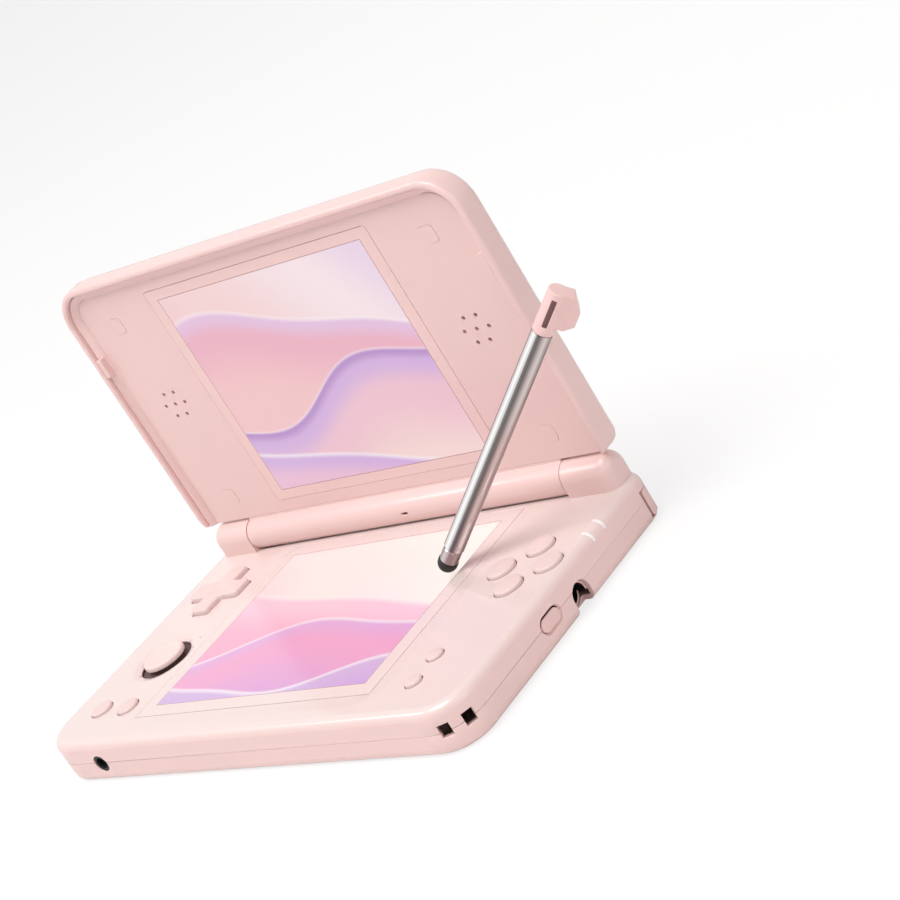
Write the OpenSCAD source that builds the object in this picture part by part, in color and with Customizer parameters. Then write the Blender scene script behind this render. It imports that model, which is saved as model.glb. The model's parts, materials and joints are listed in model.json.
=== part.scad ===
// Clamshell handheld game console, open at its working angle, in millimetres.
// Origin: centre of the flat underside. +X is the player's right, +Y is the hinge, +Z is up.

/* [Base housing] */
// Width of the base and the lid
body_w = 158; // [152:1:166]
// Depth of the base
body_d = 93; // [90:0.5:96]
// Height of the base from the table to the control surface
base_h = 13; // [12.6:0.1:14]
// Height of the parting line between the two base housings
split_z = 6.4; // [6.2:0.1:6.8]
// Plan radius of the two front corners
front_r = 11; // [9:0.5:13]
// Plan radius of the two rear corners
rear_r = 5; // [4:0.5:6]
// Round on the upper edge of the base
top_edge = 2.4; // [1.6:0.1:2.6]
// Round on the lower edge of the base
bottom_edge = 2.5; // [1.5:0.1:3]
// Thickness of the housing walls and floors
wall = 1.4; // [1.2:0.05:1.6]

/* [Hinge] */
// Distance of the hinge axis in front of the rear wall
hinge_inset = 5.3; // [5.2:0.05:5.6]
// Height of the hinge axis above the control surface
hinge_rise = 4; // [3.9:0.05:4.3]
// Radius of the lid barrel and of the two knuckles
barrel_r = 4.7; // [4.5:0.05:4.8]
// Width of each of the two knuckles beside the barrel
knuckle_w = 17.7; // [16.8:0.1:20]
// Diameter of the two hinge pins
pin_d = 4; // [3.6:0.1:4.4]
// Angle of the lid from closed
lid_open = 90; // [80:1:110]

/* [Lid] */
// Length of the lid from the hinge axis to its free edge
lid_l = 87; // [85:0.5:88]
// Distance of the lid's lower edge from the hinge axis
lid_start = 5.4; // [5.4:0.05:6]
// Distance of the lid's flat back behind the hinge axis
lid_back_w = 5.3; // [4.8:0.1:5.6]
// Distance of the lid's inner face in front of the hinge axis
lid_face_w = 0.6; // [0.4:0.1:0.8]
// Height of the rim above the lid's inner face
rim_h = 2.6; // [2.4:0.1:3]
// Width of the rim around the lid's inner face
rim_w = 2; // [1.6:0.1:2.2]
// Round on the back edge of the lid
lid_edge = 3; // [2:0.1:3.2]

/* [Screens] */
// Width of the lit area of both screens
screen_w = 81; // [76:0.5:82]
// Height of the lit area of both screens
screen_h = 63.8; // [60:0.2:64]
// Border of the touch panel around the lower screen
touch_border = 5; // [4:0.1:5.2]
// Border of the lens around the upper screen
lens_border = 3.6; // [3:0.1:4.4]
// Thickness of the touch panel and of the lens
lens_t = 1; // [0.8:0.05:1.1]
// Distance of the upper screen's centre from the hinge axis
upper_screen_v = 44.2; // [43:0.1:45]

/* [Controls] */
// Distance of the directional pad left of the middle
dpad_x = 60.7; // [58:0.1:63]
// Distance of the directional pad behind the middle
dpad_y = 18.3; // [16:0.1:20]
// Span of the directional pad
dpad_span = 20.4; // [18:0.2:21]
// Width of each arm of the directional pad
dpad_arm = 6.8; // [6:0.1:7.5]
// Distance of the slide pad left of the middle
slide_x = 58.4; // [58.4:0.1:62]
// Distance of the slide pad in front of the middle
slide_y = 10.6; // [9:0.1:12]
// Diameter of the slide pad's cap
slide_d = 12.4; // [11:0.1:13]
// Travel of the slide pad each way
slide_travel = 1; // [0.8:0.1:1.5]
// Distance of the four face buttons' centre right of the middle
face_x = 65; // [63:0.1:65.2]
// Distance of the four face buttons' centre behind the middle
face_y = 8.4; // [6:0.1:10]
// Distance of each face button from their centre
face_pitch = 7.8; // [7:0.1:8.2]
// Diameter of each face button
face_d = 7.9; // [7:0.1:8]
// Distance of the menu buttons right of the middle
menu_x = 58.6; // [56:0.1:62]
// Distance of the rear menu button in front of the middle
menu_y = 24.3; // [22:0.1:26]
// Distance between the two menu buttons
menu_pitch = 9.6; // [8:0.1:11]
// Diameter of each menu button
menu_d = 4.6; // [4:0.1:5]
// Distance of the left system button left of the middle
system_x = 64.9; // [63:0.1:66]
// Distance of the system buttons in front of the middle
system_y = 32; // [31:0.1:34]
// Distance between the two system buttons
system_pitch = 11.4; // [9:0.1:12]
// Diameter of each system button
system_d = 6.4; // [5:0.1:6.8]
// Height of the large buttons above the control surface
button_rise = 1.4; // [1:0.1:1.5]
// Height of the small buttons above the control surface
small_rise = 0.9; // [0.6:0.1:1.2]
// Gap around each button in its hole
button_gap = 0.2; // [0.15:0.01:0.3]
// Travel of the buttons
button_travel = 0.6; // [0.4:0.05:0.6]

/* [Edge parts] */
// Place of the power button along the right wall
power_y = -5.7; // [-8:0.1:-4]
// Length of the power button
power_l = 7.6; // [6:0.1:9]
// Height of the power button
power_h = 3.6; // [3:0.1:4]
// Place of the volume rocker along the left wall
volume_y = 9; // [6:0.5:12]
// Length of the volume rocker
volume_l = 15.6; // [13:0.1:17]
// Height of the volume rocker
volume_h = 4; // [3:0.1:4.4]
// Length of each shoulder button along the rear wall
shoulder_l = 27; // [24:0.5:28]
// Depth of each shoulder button along the side wall
shoulder_y = 5; // [4.5:0.1:5]
// Height of each shoulder button
shoulder_h = 7.4; // [7:0.1:7.6]
// Place of the headphone socket along the front wall
jack_x = -57; // [-58:0.2:-54]
// Bore of the headphone socket
jack_d = 3.6; // [3.5:0.05:3.7]
// Bore of the stylus silo
silo_d = 5.6; // [5.5:0.05:5.8]
// Depth of the stylus silo
silo_l = 84; // [80:1:88]
// Place of the stylus silo along the right wall
silo_y = 7; // [5:0.1:7]
// Height of the stylus silo's axis
silo_z = 3.95; // [3.85:0.05:4]

/* [Stylus] */
// Diameter of the stylus sleeve
stylus_d = 5.3; // [5:0.05:5.35]
// Diameter of the stylus inner shaft
shaft_d = 4.3; // [4:0.05:4.4]
// Length of the whole stylus
stylus_l = 88; // [86:0.5:90]
// Length of the stylus cap
cap_l = 12; // [12:0.5:14]
// Distance of the stylus tip right of the middle
tip_x = 38.5; // [36:0.1:40]
// Distance of the stylus tip behind the middle
tip_y = 11; // [9:0.1:13]
// Lean of the stylus from upright
stylus_lean = 49.5; // [46:0.5:52]
// Heading of the stylus, from +X
stylus_heading = 17.3; // [14:0.5:20]

/* [Hidden] */

$fn = 48;
hull_fn = 32;
overlap = 0.5;
fit = 0.1;
gap = 0.3;

pink = [0.96, 0.82, 0.81];
pale_pink = [0.98, 0.87, 0.86];
steel = [0.72, 0.71, 0.70];
dark = [0.16, 0.15, 0.15];
board_green = [0.13, 0.36, 0.24];
lavender = [0.86, 0.76, 0.92];

half_w = body_w / 2;
half_d = body_d / 2;
hinge_y = half_d - hinge_inset;
hinge_z = base_h + hinge_rise;
trough_r = barrel_r + 0.4;
knuckle_x = half_w - knuckle_w;
barrel_l = 2 * (knuckle_x - gap);

// Heights inside the base, from the table up
panel_z = base_h - lens_t;
display_t = 2.2;
display_z = panel_z - display_t;
frame_t = 0.4;
board_t = 0.8;
board_z = display_z - frame_t - board_t;
board_top = board_z + board_t;
dome_t = 0.9;
button_z = board_top + dome_t + button_travel + 0.1;
flange_t = 0.5;
touch_w = screen_w + 2 * touch_border;
touch_d = screen_h + 2 * touch_border - 1;
touch_y = -0.5;
panel_corner = 5;

// A rounded rectangle of exact arcs, with its own front and rear radii
module plan(w, d, r_front, r_rear) {
    for (s = [-1, 1]) {
        translate([s * (w / 2 - r_front), -d / 2 + r_front]) circle(r_front);
        translate([s * (w / 2 - r_rear), d / 2 - r_rear]) circle(r_rear);
    }
    translate([-w / 2, -d / 2 + r_front]) square([w, d - r_front - r_rear]);
    translate([-w / 2 + r_front, -d / 2]) square([w - 2 * r_front, d / 2]);
    translate([-w / 2 + r_rear, -overlap]) square([w - 2 * r_rear, d / 2 + overlap]);
}

module plate(w, d, h, r) {
    linear_extrude(h) plan(w, d, r, r);
}

// A round corner of a moulded housing, with a rounded lower and upper edge
module puck(r, h, low, high) {
    steps = 4;
    lower = [for (i = [0:steps]) [r - low + low * sin(90 * i / steps), low - low * cos(90 * i / steps)]];
    upper = [for (i = [0:steps])
        [r - high + high * cos(90 * i / steps), h - high + high * sin(90 * i / steps)]];
    rotate_extrude($fn = hull_fn) polygon(concat([[0, 0]], lower, upper, [[0, h]]));
}

// A moulded slab between four such corners
module slab(w, d, h, r_front, r_rear, low, high) {
    hull() for (s = [-1, 1]) {
        translate([s * (w / 2 - r_front), -d / 2 + r_front, 0]) puck(r_front, h, low, high);
        translate([s * (w / 2 - r_rear), d / 2 - r_rear, 0]) puck(r_rear, h, low, high);
    }
}

// Places a part that is drawn flat, with the hinge axis on X and the inner face up, on the lid
module on_lid() {
    translate([0, hinge_y, hinge_z]) rotate([180 - lid_open, 0, 0]) children();
}

module along_x(r, l) {
    rotate([0, 90, 0]) cylinder(h = l, r = r);
}

module stadium(l, h) {
    for (s = [-1, 1]) translate([s * (l - h) / 2, 0]) circle(h / 2);
    square([l - h, h], center = true);
}

// A stadium that stands on a side wall, its length along Y, from x over a depth t
module wall_stadium(x, y, z, l, h, t) {
    translate([x, y, z]) rotate([90, 0, 90]) linear_extrude(t) stadium(l, h);
}

module cross(span, arm) {
    r = 1;
    for (a = [0, 90]) rotate(a) plan(span, arm, r, r);
}

module at_face(i) {
    side = [[0, 1], [1, 0], [-1, 0], [0, -1]][i];
    translate([face_x + side[0] * face_pitch, face_y + side[1] * face_pitch, 0]) children();
}

module at_menu(i) {
    translate([menu_x, -menu_y - i * menu_pitch, 0]) children();
}

module at_system(i) {
    translate([-system_x + i * system_pitch, -system_y, 0]) children();
}

// ---- holes that both base housings share ----
jack_z = base_h - 7;
power_z = split_z - 0.1;
volume_z = split_z;
strap_size = [3, 3.4];
strap_angles = [-62, -28];
strap_depth = 4.6;
strap_z = split_z + 0.3;
shoulder_z = 1.2;
shoulder_x = half_w - shoulder_l;
shoulder_swing = 0.9;
shoulder_pin_at = [shoulder_x + 2, half_d - 2.4];
shoulder_pin_r = 0.75;
shoulder_top = shoulder_z + shoulder_h + 2 * button_gap;
silo_wall = 0.6;
wall_in = wall + overlap;
seam = 0.02;
rear_wall = 0.8;
boss_side = 9;
boss_front = 8.5;
boss_rear_side = 18;
boss_rear = 10.3;
boss_strap = 17.4;
boss_middle = 5.9;
boss_at = [[-half_w + boss_side, -half_d + boss_front], [half_w - boss_strap, -half_d + boss_front],
    [-half_w + boss_rear_side, half_d - boss_rear], [half_w - boss_rear_side, half_d - boss_rear],
    [0, -half_d + boss_middle]];
post_d = 4.4;
screw_d = 2;
screw_l = 3.4;
light_l = 2.8;
light_w = 1;
light_y = [24.6, 19.4];

// The hollow that both base housings enclose
module cavity(h) {
    translate([0, -rear_wall / 2, 0]) linear_extrude(h)
        plan(body_w - 2 * wall, body_d - 2 * wall - rear_wall, front_r - wall, rear_r - 1);
}

module corner_turn(angle) {
    translate([half_w - front_r, -half_d + front_r, 0]) rotate(angle) translate([front_r, 0, 0])
        children();
}

module at_pins(z) {
    for (s = [-1, 1]) translate([s * shoulder_pin_at[0], shoulder_pin_at[1], z]) children();
}

module edge_holes() {
    translate([jack_x, -half_d - overlap, jack_z]) rotate([-90, 0, 0])
        cylinder(h = wall_in + overlap, d = jack_d + 2 * fit + 1.4);
    wall_stadium(half_w - wall_in, power_y, power_z, power_l + 2 * button_gap,
        power_h + 2 * button_gap, wall_in + overlap);
    wall_stadium(half_w - 0.5, power_y, power_z, power_l + 1.2, power_h + 1.2, overlap + 0.5);
    translate([half_w - 4, silo_y, silo_z]) along_x(silo_d / 2 + silo_wall + fit, 4 + overlap);
    wall_stadium(-half_w - overlap, volume_y, volume_z, volume_l + 2 * button_gap,
        volume_h + 2 * button_gap, wall_in + overlap);
    for (a = strap_angles) corner_turn(a) translate([-strap_depth, -strap_size[0] / 2,
        strap_z - strap_size[1] / 2]) cube([strap_depth + overlap, strap_size[0], strap_size[1]]);
    for (s = [-1, 1]) translate([s > 0 ? shoulder_x - gap : -half_w - overlap,
        half_d - shoulder_y - shoulder_swing, shoulder_z])
        cube([shoulder_l + gap + overlap, shoulder_y + shoulder_swing + overlap,
            shoulder_h + 2 * button_gap]);
}

// ---- upper base housing and the two hinge knuckles ----
knuckle_foot = 5.2;
knuckle_round = 3.6;
knuckle_inset = 2;
pocket_z = base_h - wall;
dish_r = 10.4;
dish_low = 0.4;
slide_hole_r = slide_d / 2 + slide_travel * sqrt(2) + gap + 0.05;

module upper_block() {
    low = split_z + seam;
    translate([0, 0, low]) slab(body_w, body_d, base_h - low, front_r, rear_r, 0, top_edge);
}

module knuckle() {
    difference() {
        hull() {
            translate([knuckle_x, hinge_y, hinge_z])
                along_x(barrel_r, knuckle_w - knuckle_inset - knuckle_round, $fn = hull_fn);
            translate([knuckle_x, hinge_y, hinge_z])
                along_x(barrel_r - knuckle_round, knuckle_w - knuckle_inset, $fn = hull_fn);
            translate([knuckle_x, hinge_y - knuckle_foot, base_h - top_edge])
                cube([knuckle_w - top_edge, 2 * knuckle_foot - 0.4, top_edge]);
        }
        translate([knuckle_x - overlap, hinge_y, hinge_z])
            along_x(pin_d / 2, knuckle_w - knuckle_inset - wall + overlap);
    }
}

// The two covers that hold the hinge pins, moulded to the top of the upper housing
module hinge_knuckles() {
    color(pink) for (side = [0, 1]) mirror([side, 0, 0]) difference() {
        knuckle();
        upper_block();
        translate([0, hinge_y, hinge_z]) along_x(trough_r, knuckle_x);
    }
}

module upper_cuts() {
    translate([0, touch_y, panel_z])
        linear_extrude(lens_t + overlap) touch_outline(fit);
    translate([0, touch_y, pocket_z - overlap])
        plate(touch_w - 2.4, touch_d - 2.4, panel_z - pocket_z + 2 * overlap, 2);
    translate([-dpad_x, dpad_y, pocket_z - overlap])
        linear_extrude(wall + 2 * overlap) cross(dpad_span + 2 * gap, dpad_arm + 2 * gap);
    translate([-slide_x, -slide_y, pocket_z - overlap]) {
        cylinder(h = wall + 2 * overlap, r = slide_hole_r);
        translate([0, 0, overlap + dish_low])
            cylinder(h = wall - dish_low, r1 = slide_hole_r, r2 = dish_r);
    }
    for (i = [0:3]) at_face(i) translate([0, 0, pocket_z - overlap])
        cylinder(h = wall + 2 * overlap, d = face_d + 2 * button_gap);
    for (i = [0:1]) at_menu(i) translate([0, 0, pocket_z - overlap])
        cylinder(h = wall + 2 * overlap, d = menu_d + 2 * button_gap);
    for (i = [0:1]) at_system(i) translate([0, 0, pocket_z - overlap])
        cylinder(h = wall + 2 * overlap, d = system_d + 2 * button_gap);
}

module base_upper() {
    light_cut = [light_l + 0.05, light_w + 0.1];
    color(pink) {
        difference() {
            upper_block();
            translate([0, 0, split_z - overlap]) cavity(pocket_z - split_z + overlap);
            upper_cuts();
            edge_holes();
            translate([-knuckle_x, hinge_y, hinge_z]) along_x(trough_r, 2 * knuckle_x);
            for (y = light_y) translate([half_w - light_l, y - light_cut[1] / 2, base_h - light_l])
                cube([light_l + overlap, light_cut[1], light_l + overlap]);
            at_pins(shoulder_top - overlap) cylinder(h = 1 + overlap, r = shoulder_pin_r);
        }
        trough_shell();
        difference() {
            at_pins(shoulder_top) cylinder(h = pocket_z - shoulder_top + 0.2, r = shoulder_pin_r + 1);
            at_pins(shoulder_top - overlap) cylinder(h = 1 + overlap, r = shoulder_pin_r);
        }
        for (p = boss_at) translate([p[0], p[1], split_z + seam]) difference() {
            cylinder(h = pocket_z - split_z + 0.2, d = post_d);
            translate([0, 0, -overlap]) cylinder(h = screw_l, d = screw_d);
        }
    }
}

// The thin skin under the barrel, which closes the trough
module trough_shell() {
    skin = 0.9;
    length = 2 * knuckle_x;
    difference() {
        translate([-knuckle_x, hinge_y, hinge_z]) along_x(trough_r + skin, length);
        translate([-knuckle_x - overlap, hinge_y, hinge_z]) along_x(trough_r, length + 2 * overlap);
        translate([-half_w, 0, pocket_z + 0.2]) cube([body_w, body_d, body_d]);
    }
}

// ---- lower base housing ----
boss_d = 5;
notch_w = 7;

module base_lower() {
    color(pink) difference() {
        union() {
            difference() {
                slab(body_w, body_d, split_z - seam, front_r, rear_r, bottom_edge, 0);
                translate([0, 0, wall]) cavity(split_z);
            }
            for (p = boss_at) translate([p[0], p[1], wall - 0.1])
                cylinder(h = split_z - wall, d = boss_d);
        }
        for (p = boss_at) translate([p[0], p[1], -overlap]) {
            cylinder(h = split_z + 1, d = screw_d + 2 * fit);
            cylinder(h = overlap + 1.6, d = 4 + 2 * fit);
        }
        translate([half_w - wall - silo_l - fit, silo_y, silo_z])
            along_x(silo_d / 2 + silo_wall + fit, silo_l + wall + overlap);
        translate([half_w - 4, silo_y - notch_w / 2, -overlap]) cube([5, notch_w, silo_z + overlap]);
        at_pins(shoulder_z - 0.8) cylinder(h = 1, r = shoulder_pin_r);
        edge_holes();
        rear_openings();
    }
}

// ---- touch panel and lower display ----
module touch_outline(grow) {
    w = touch_w / 2 + grow;
    d = touch_d / 2 + grow;
    cut = panel_corner;
    polygon([[-w, -d], [w, -d], [w, d], [-w + cut, d], [-w, d - cut]]);
}

module touch_panel() {
    color(pale_pink) translate([0, touch_y, panel_z]) linear_extrude(lens_t) touch_outline(0);
}

module lower_display() {
    color(lavender) translate([0, 0, display_z + 0.02])
        plate(screen_w + 5, screen_h + 4, display_t - 0.04, 1);
}

module display_frame() {
    w = touch_w - 3.2;
    d = touch_d - 3;
    color(steel) translate([0, touch_y, board_top + 0.01]) difference() {
        plate(w, d, frame_t + display_t - 0.05, 1);
        translate([0, -touch_y, frame_t]) plate(screen_w + 5.3, screen_h + 4.3, display_t, 1.1);
        translate([0, 0, -overlap]) plate(w - 24, d - 20, frame_t + 2 * overlap, 2);
    }
}

// ---- electronics in the base ----
board_w = body_w - 2 * wall - 6;
board_corner = 8;
board_front = -half_d + wall + 1.6;
board_rear = half_d - shoulder_y - shoulder_swing - 1.4;

module main_board() {
    depth = board_rear - board_front;
    color(board_green) translate([0, (board_rear + board_front) / 2, board_z]) difference() {
        plate(board_w, depth, board_t, board_corner);
        for (p = boss_at) translate([p[0], p[1] - (board_rear + board_front) / 2, -overlap])
            cylinder(h = board_t + 2 * overlap, d = post_d + 0.6);
    }
}

shield_size = [38, 18, 2.2];
shield_at = [24, half_d - 22.5];

module board_shield() {
    color(steel) translate([shield_at[0], shield_at[1], board_z - shield_size[2] - seam / 2]) difference() {
        plate(shield_size[0], shield_size[1], shield_size[2], 1);
        translate([0, 0, 0.3])
            plate(shield_size[0] - 0.6, shield_size[1] - 0.6, shield_size[2], 0.8);
    }
}

battery_x = -20;
battery_front = -half_d + 9.5;
battery_rear = silo_y - silo_d / 2 - silo_wall - 3.9;
battery_size = [54, battery_rear - battery_front, 4.9];
battery_end = 8;

module battery() {
    color(dark) translate([battery_x, (battery_front + battery_rear) / 2, wall + 0.02]) {
        plate(battery_size[0], battery_size[1], battery_size[2], 2);
        translate([battery_size[0] / 2 - 3, battery_end - battery_size[1] / 2, 0.4])
            cube([3.6, battery_size[1] - 2 * battery_end, battery_size[2] - 1]);
    }
}

module silo_tube() {
    color(pale_pink) translate([half_w - wall - silo_l, silo_y, silo_z]) difference() {
        along_x(silo_d / 2 + silo_wall, silo_l);
        translate([1.2, 0, 0]) along_x(silo_d / 2, silo_l);
        translate([silo_l - 3, -notch_w / 2, -silo_d]) cube([3.5, notch_w, silo_d - silo_wall]);
    }
}

module headphone_socket() {
    length = 13;
    size = [6.2, 5];
    color(dark) translate([jack_x, -half_d + wall + 0.1, jack_z]) difference() {
        union() {
            translate([-size[0] / 2, 0, -size[1] / 2]) cube([size[0], length, size[1]]);
            rotate([90, 0, 0]) cylinder(h = wall - 0.2, d = jack_d + 1.4);
        }
        rotate([90, 0, 0]) translate([0, 0, -length + 1]) cylinder(h = length + wall, d = jack_d);
    }
}

charge_x = 36;
charge_size = [9, 3];
card_size = [33.6, 4];
card_x = -22;
port_z = 3.9;

module rear_openings() {
    translate([charge_x - charge_size[0] / 2, half_d - wall - 3, port_z - charge_size[1] / 2])
        cube([charge_size[0], wall + 4, charge_size[1]]);
    translate([card_x - card_size[0] / 2, half_d - wall - 3, port_z - card_size[1] / 2])
        cube([card_size[0], wall + 4, card_size[1]]);
}

module charge_socket() {
    length = 7;
    color(steel) translate([charge_x, half_d - wall - 2.1, port_z]) difference() {
        translate([-charge_size[0] / 2 - 0.6, -length, -charge_size[1] / 2 - 0.6])
            cube([charge_size[0] + 1.2, length, charge_size[1] + 1.2]);
        translate([-charge_size[0] / 2, -length + 1, -charge_size[1] / 2])
            cube([charge_size[0], length, charge_size[1]]);
    }
}

module card_slot() {
    length = 30;
    shell = 0.7;
    color(steel) translate([card_x, half_d - wall - 2.1, port_z]) difference() {
        translate([-card_size[0] / 2 - shell, -length, -card_size[1] / 2 - 0.45])
            cube([card_size[0] + 2 * shell, length, card_size[1] + 0.9]);
        translate([-card_size[0] / 2, -length + 1.5, -card_size[1] / 2])
            cube([card_size[0], length, card_size[1]]);
    }
}

module strap_post() {
    mid = (strap_angles[0] + strap_angles[1]) / 2;
    color(steel) corner_turn(mid) translate([-strap_depth + 0.8, 0, wall])
        cylinder(h = board_z - wall - 0.6, d = 1.6);
}

// Two slim light guides that follow the rounded edge of the housing
module status_lights() {
    color("white") for (y = light_y) intersection() {
        upper_block();
        translate([half_w - light_l + 0.05, y - light_w / 2, base_h - light_l + 0.05])
            cube([light_l, light_w, light_l]);
    }
}

// ---- controls ----
membrane_t = dome_t - 0.1;
dpad_post_r = 1.2;
dpad_ball_z = base_h - 1;
power_face = half_w - 0.1;

module membrane(w, d) {
    translate([0, 0, board_top]) plate(w, d, 0.5, 1.5);
}

// The soft dome that lifts one button
module dome(r) {
    translate([0, 0, board_top + 0.4]) cylinder(h = membrane_t - 0.4, r1 = r, r2 = r - 0.5);
}

module dpad_membrane() {
    color(pale_pink) translate([-dpad_x, dpad_y, 0]) difference() {
        union() {
            membrane(dpad_span, dpad_span);
            for (a = [0:90:270]) rotate(a) translate([dpad_span / 2 - 3.4, 0, 0]) dome(2.2);
        }
        cylinder(h = base_h, r = dpad_post_r + fit);
    }
}

module face_membrane() {
    color(pale_pink) {
        translate([face_x, face_y, 0]) membrane(2 * face_pitch + 4, 2 * face_pitch + 4);
        for (i = [0:3]) at_face(i) dome(2.4);
    }
}

module menu_membrane() {
    color(pale_pink) {
        translate([menu_x, -menu_y - menu_pitch / 2, 0]) membrane(5, menu_pitch + 3.6);
        for (i = [0:1]) at_menu(i) dome(1.8);
    }
}

module system_membrane() {
    color(pale_pink) {
        translate([-system_x + system_pitch / 2, -system_y, 0]) membrane(system_pitch + 5, 6);
        for (i = [0:1]) at_system(i) dome(1.9);
    }
}

// A round button with a softened top edge and a retaining flange below the housing
module round_button(d, rise) {
    soft = 0.35;
    color(pink) translate([0, 0, button_z]) {
        cylinder(h = flange_t, d = d + 1);
        cylinder(h = base_h + rise - soft - button_z, d = d);
        translate([0, 0, base_h + rise - soft - button_z]) cylinder(h = soft, d1 = d, d2 = d - 2 * soft);
    }
}

module face_button_rear() { at_face(0) round_button(face_d, button_rise); }
module face_button_right() { at_face(1) round_button(face_d, button_rise); }
module face_button_left() { at_face(2) round_button(face_d, button_rise); }
module face_button_front() { at_face(3) round_button(face_d, button_rise); }
module start_button() { at_menu(0) round_button(menu_d, small_rise); }
module select_button() { at_menu(1) round_button(menu_d, small_rise); }
module system_button_left() { at_system(0) round_button(system_d, small_rise); }
module system_button_right() { at_system(1) round_button(system_d, small_rise); }

// The post that carries the directional pad's rocking ball
module dpad_post() {
    color(steel) translate([-dpad_x, dpad_y, 0]) difference() {
        translate([0, 0, board_top]) cylinder(h = dpad_ball_z - 1 - board_top, r = dpad_post_r);
        translate([0, 0, dpad_ball_z]) sphere(dpad_post_r + 0.04);
    }
}

module dpad_pivot() {
    color(steel) translate([-dpad_x, dpad_y, dpad_ball_z]) sphere(dpad_post_r);
}

module dpad() {
    low = button_z;
    soft = 0.4;
    top = base_h + button_rise;
    color(pink) translate([-dpad_x, dpad_y, 0]) difference() {
        union() {
            translate([0, 0, low]) linear_extrude(top - soft - low) cross(dpad_span, dpad_arm);
            translate([0, 0, top - soft - 0.01])
                linear_extrude(soft + 0.01) cross(dpad_span - 2 * soft, dpad_arm - 2 * soft);
            translate([0, 0, low - 0.3]) cylinder(h = 0.5, r = 5.6);
        }
        translate([0, 0, low - 1]) cylinder(h = dpad_ball_z - 0.6 - low + 1, r = dpad_post_r + 0.5);
        translate([0, 0, dpad_ball_z]) sphere(dpad_post_r + 0.05);
    }
}

// ---- slide pad: the socket guides the carrier along X, the carrier guides the pad along Y ----
slide_rail = 1;
socket_floor = 0.4;
carrier_z = board_top + socket_floor + 0.1;
carrier_t = 0.4;
carrier_half = 10;
guide_half = 5;
guide_t = 0.5;
skirt_z = carrier_z + carrier_t + guide_t + 0.1;
skirt_r = slide_hole_r + slide_travel * sqrt(2) + 0.2;

module at_slide() {
    translate([-slide_x, -slide_y, 0]) children();
}

module slide_socket() {
    width = 2 * (carrier_half + slide_rail) + 2 * fit;
    length = 2 * (carrier_half + slide_travel) + 2;
    color(dark) at_slide() {
        translate([0, 0, board_top]) plate(length, width, socket_floor, 1);
        for (s = [-1, 1]) translate([-length / 2 + 1, s * (width - slide_rail) / 2 - slide_rail / 2,
            board_top]) cube([length - 2, slide_rail, socket_floor + 0.1 + carrier_t]);
    }
}

module slide_carrier() {
    color(steel) at_slide() {
        translate([0, 0, carrier_z]) plate(2 * carrier_half, 2 * carrier_half, carrier_t, 1);
        for (s = [-1, 1]) translate([s * (guide_half + 0.6) - 0.5, -carrier_half + 1, carrier_z])
            cube([1, 2 * carrier_half - 2, carrier_t + guide_t]);
    }
}

module slide_pad() {
    top = base_h + 1.1;
    r = slide_d / 2;
    color(pale_pink) at_slide() difference() {
        union() {
            translate([-guide_half, -6, carrier_z + carrier_t + 0.1])
                cube([2 * guide_half, 12, skirt_z - carrier_z - carrier_t + 0.1]);
            translate([0, 0, skirt_z]) cylinder(h = 0.4, r = skirt_r);
            translate([0, 0, skirt_z]) cylinder(h = base_h - skirt_z, r = r - 1);
            translate([0, 0, base_h - 0.3]) cylinder(h = 0.9, r = r);
            translate([0, 0, base_h + 0.6]) cylinder(h = top - base_h - 0.6, r1 = r, r2 = r - 0.5);
        }
        translate([0, 0, top + 17.6]) sphere(18, $fn = 96);
    }
}

// ---- buttons and switches on the edges ----
module power_button() {
    inner = half_w - wall - 0.1;
    color(pale_pink) {
        wall_stadium(inner - 0.5, power_y, power_z, power_l, power_h, power_face - inner + 0.5);
        wall_stadium(inner - 0.5, power_y, power_z, power_l + 1.4, power_h + 1, 0.5);
    }
}

module edge_switch(face, y, z, l, h) {
    depth = 3.6;
    color(dark) {
        translate([face > 0 ? face - depth - 0.4 : face + 0.4, y - l / 2, z - h / 2])
            cube([depth, l, board_z - z + h / 2]);
        translate([face > 0 ? face - depth : face, y - 0.8, z - 0.8]) cube([depth, 1.6, 1.6]);
    }
}

module power_switch() {
    edge_switch(half_w - wall - 0.6 - button_travel, power_y, power_z, 5, 2.4);
}

volume_flange = -half_w + wall + 0.55;
volume_flange_t = 0.6;
volume_rib = 0.5;

// The rocker turns on the round rib at the middle of its back
module volume_rocker() {
    rise = 0.8;
    rib_h = 2;
    color(pale_pink) difference() {
        union() {
            wall_stadium(-half_w - rise, volume_y, volume_z, volume_l, volume_h,
                volume_flange + half_w + rise + volume_flange_t);
            wall_stadium(volume_flange, volume_y, volume_z, volume_l + 1, volume_h - 0.6,
                volume_flange_t);
            translate([volume_flange + volume_flange_t, volume_y, volume_z - rib_h / 2])
                cylinder(h = rib_h, r = volume_rib - 0.05);
        }
        translate([-half_w - rise - overlap, volume_y - 1.8, volume_z - volume_h])
            cube([overlap + 0.3, 3.6, 2 * volume_h]);
    }
}

module volume_switch() {
    edge_switch(volume_flange + volume_flange_t + volume_rib, volume_y, volume_z - 0.6, 9, 2);
}

module shoulder(side) {
    color(pale_pink) difference() {
        translate([0, 0, shoulder_z + button_gap]) linear_extrude(shoulder_h) intersection() {
            plan(body_w, body_d, front_r, rear_r);
            translate([side > 0 ? shoulder_x : -half_w, half_d - shoulder_y])
                square([shoulder_l, shoulder_y]);
        }
        translate([side * shoulder_pin_at[0], shoulder_pin_at[1], 0])
            cylinder(h = base_h, r = shoulder_pin_r + 0.05);
    }
}

module shoulder_left() { shoulder(-1); }
module shoulder_right() { shoulder(1); }

module shoulder_pins() {
    color(steel) at_pins(shoulder_z - 0.8)
        cylinder(h = shoulder_top - shoulder_z + 1.7, r = shoulder_pin_r);
}

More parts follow.
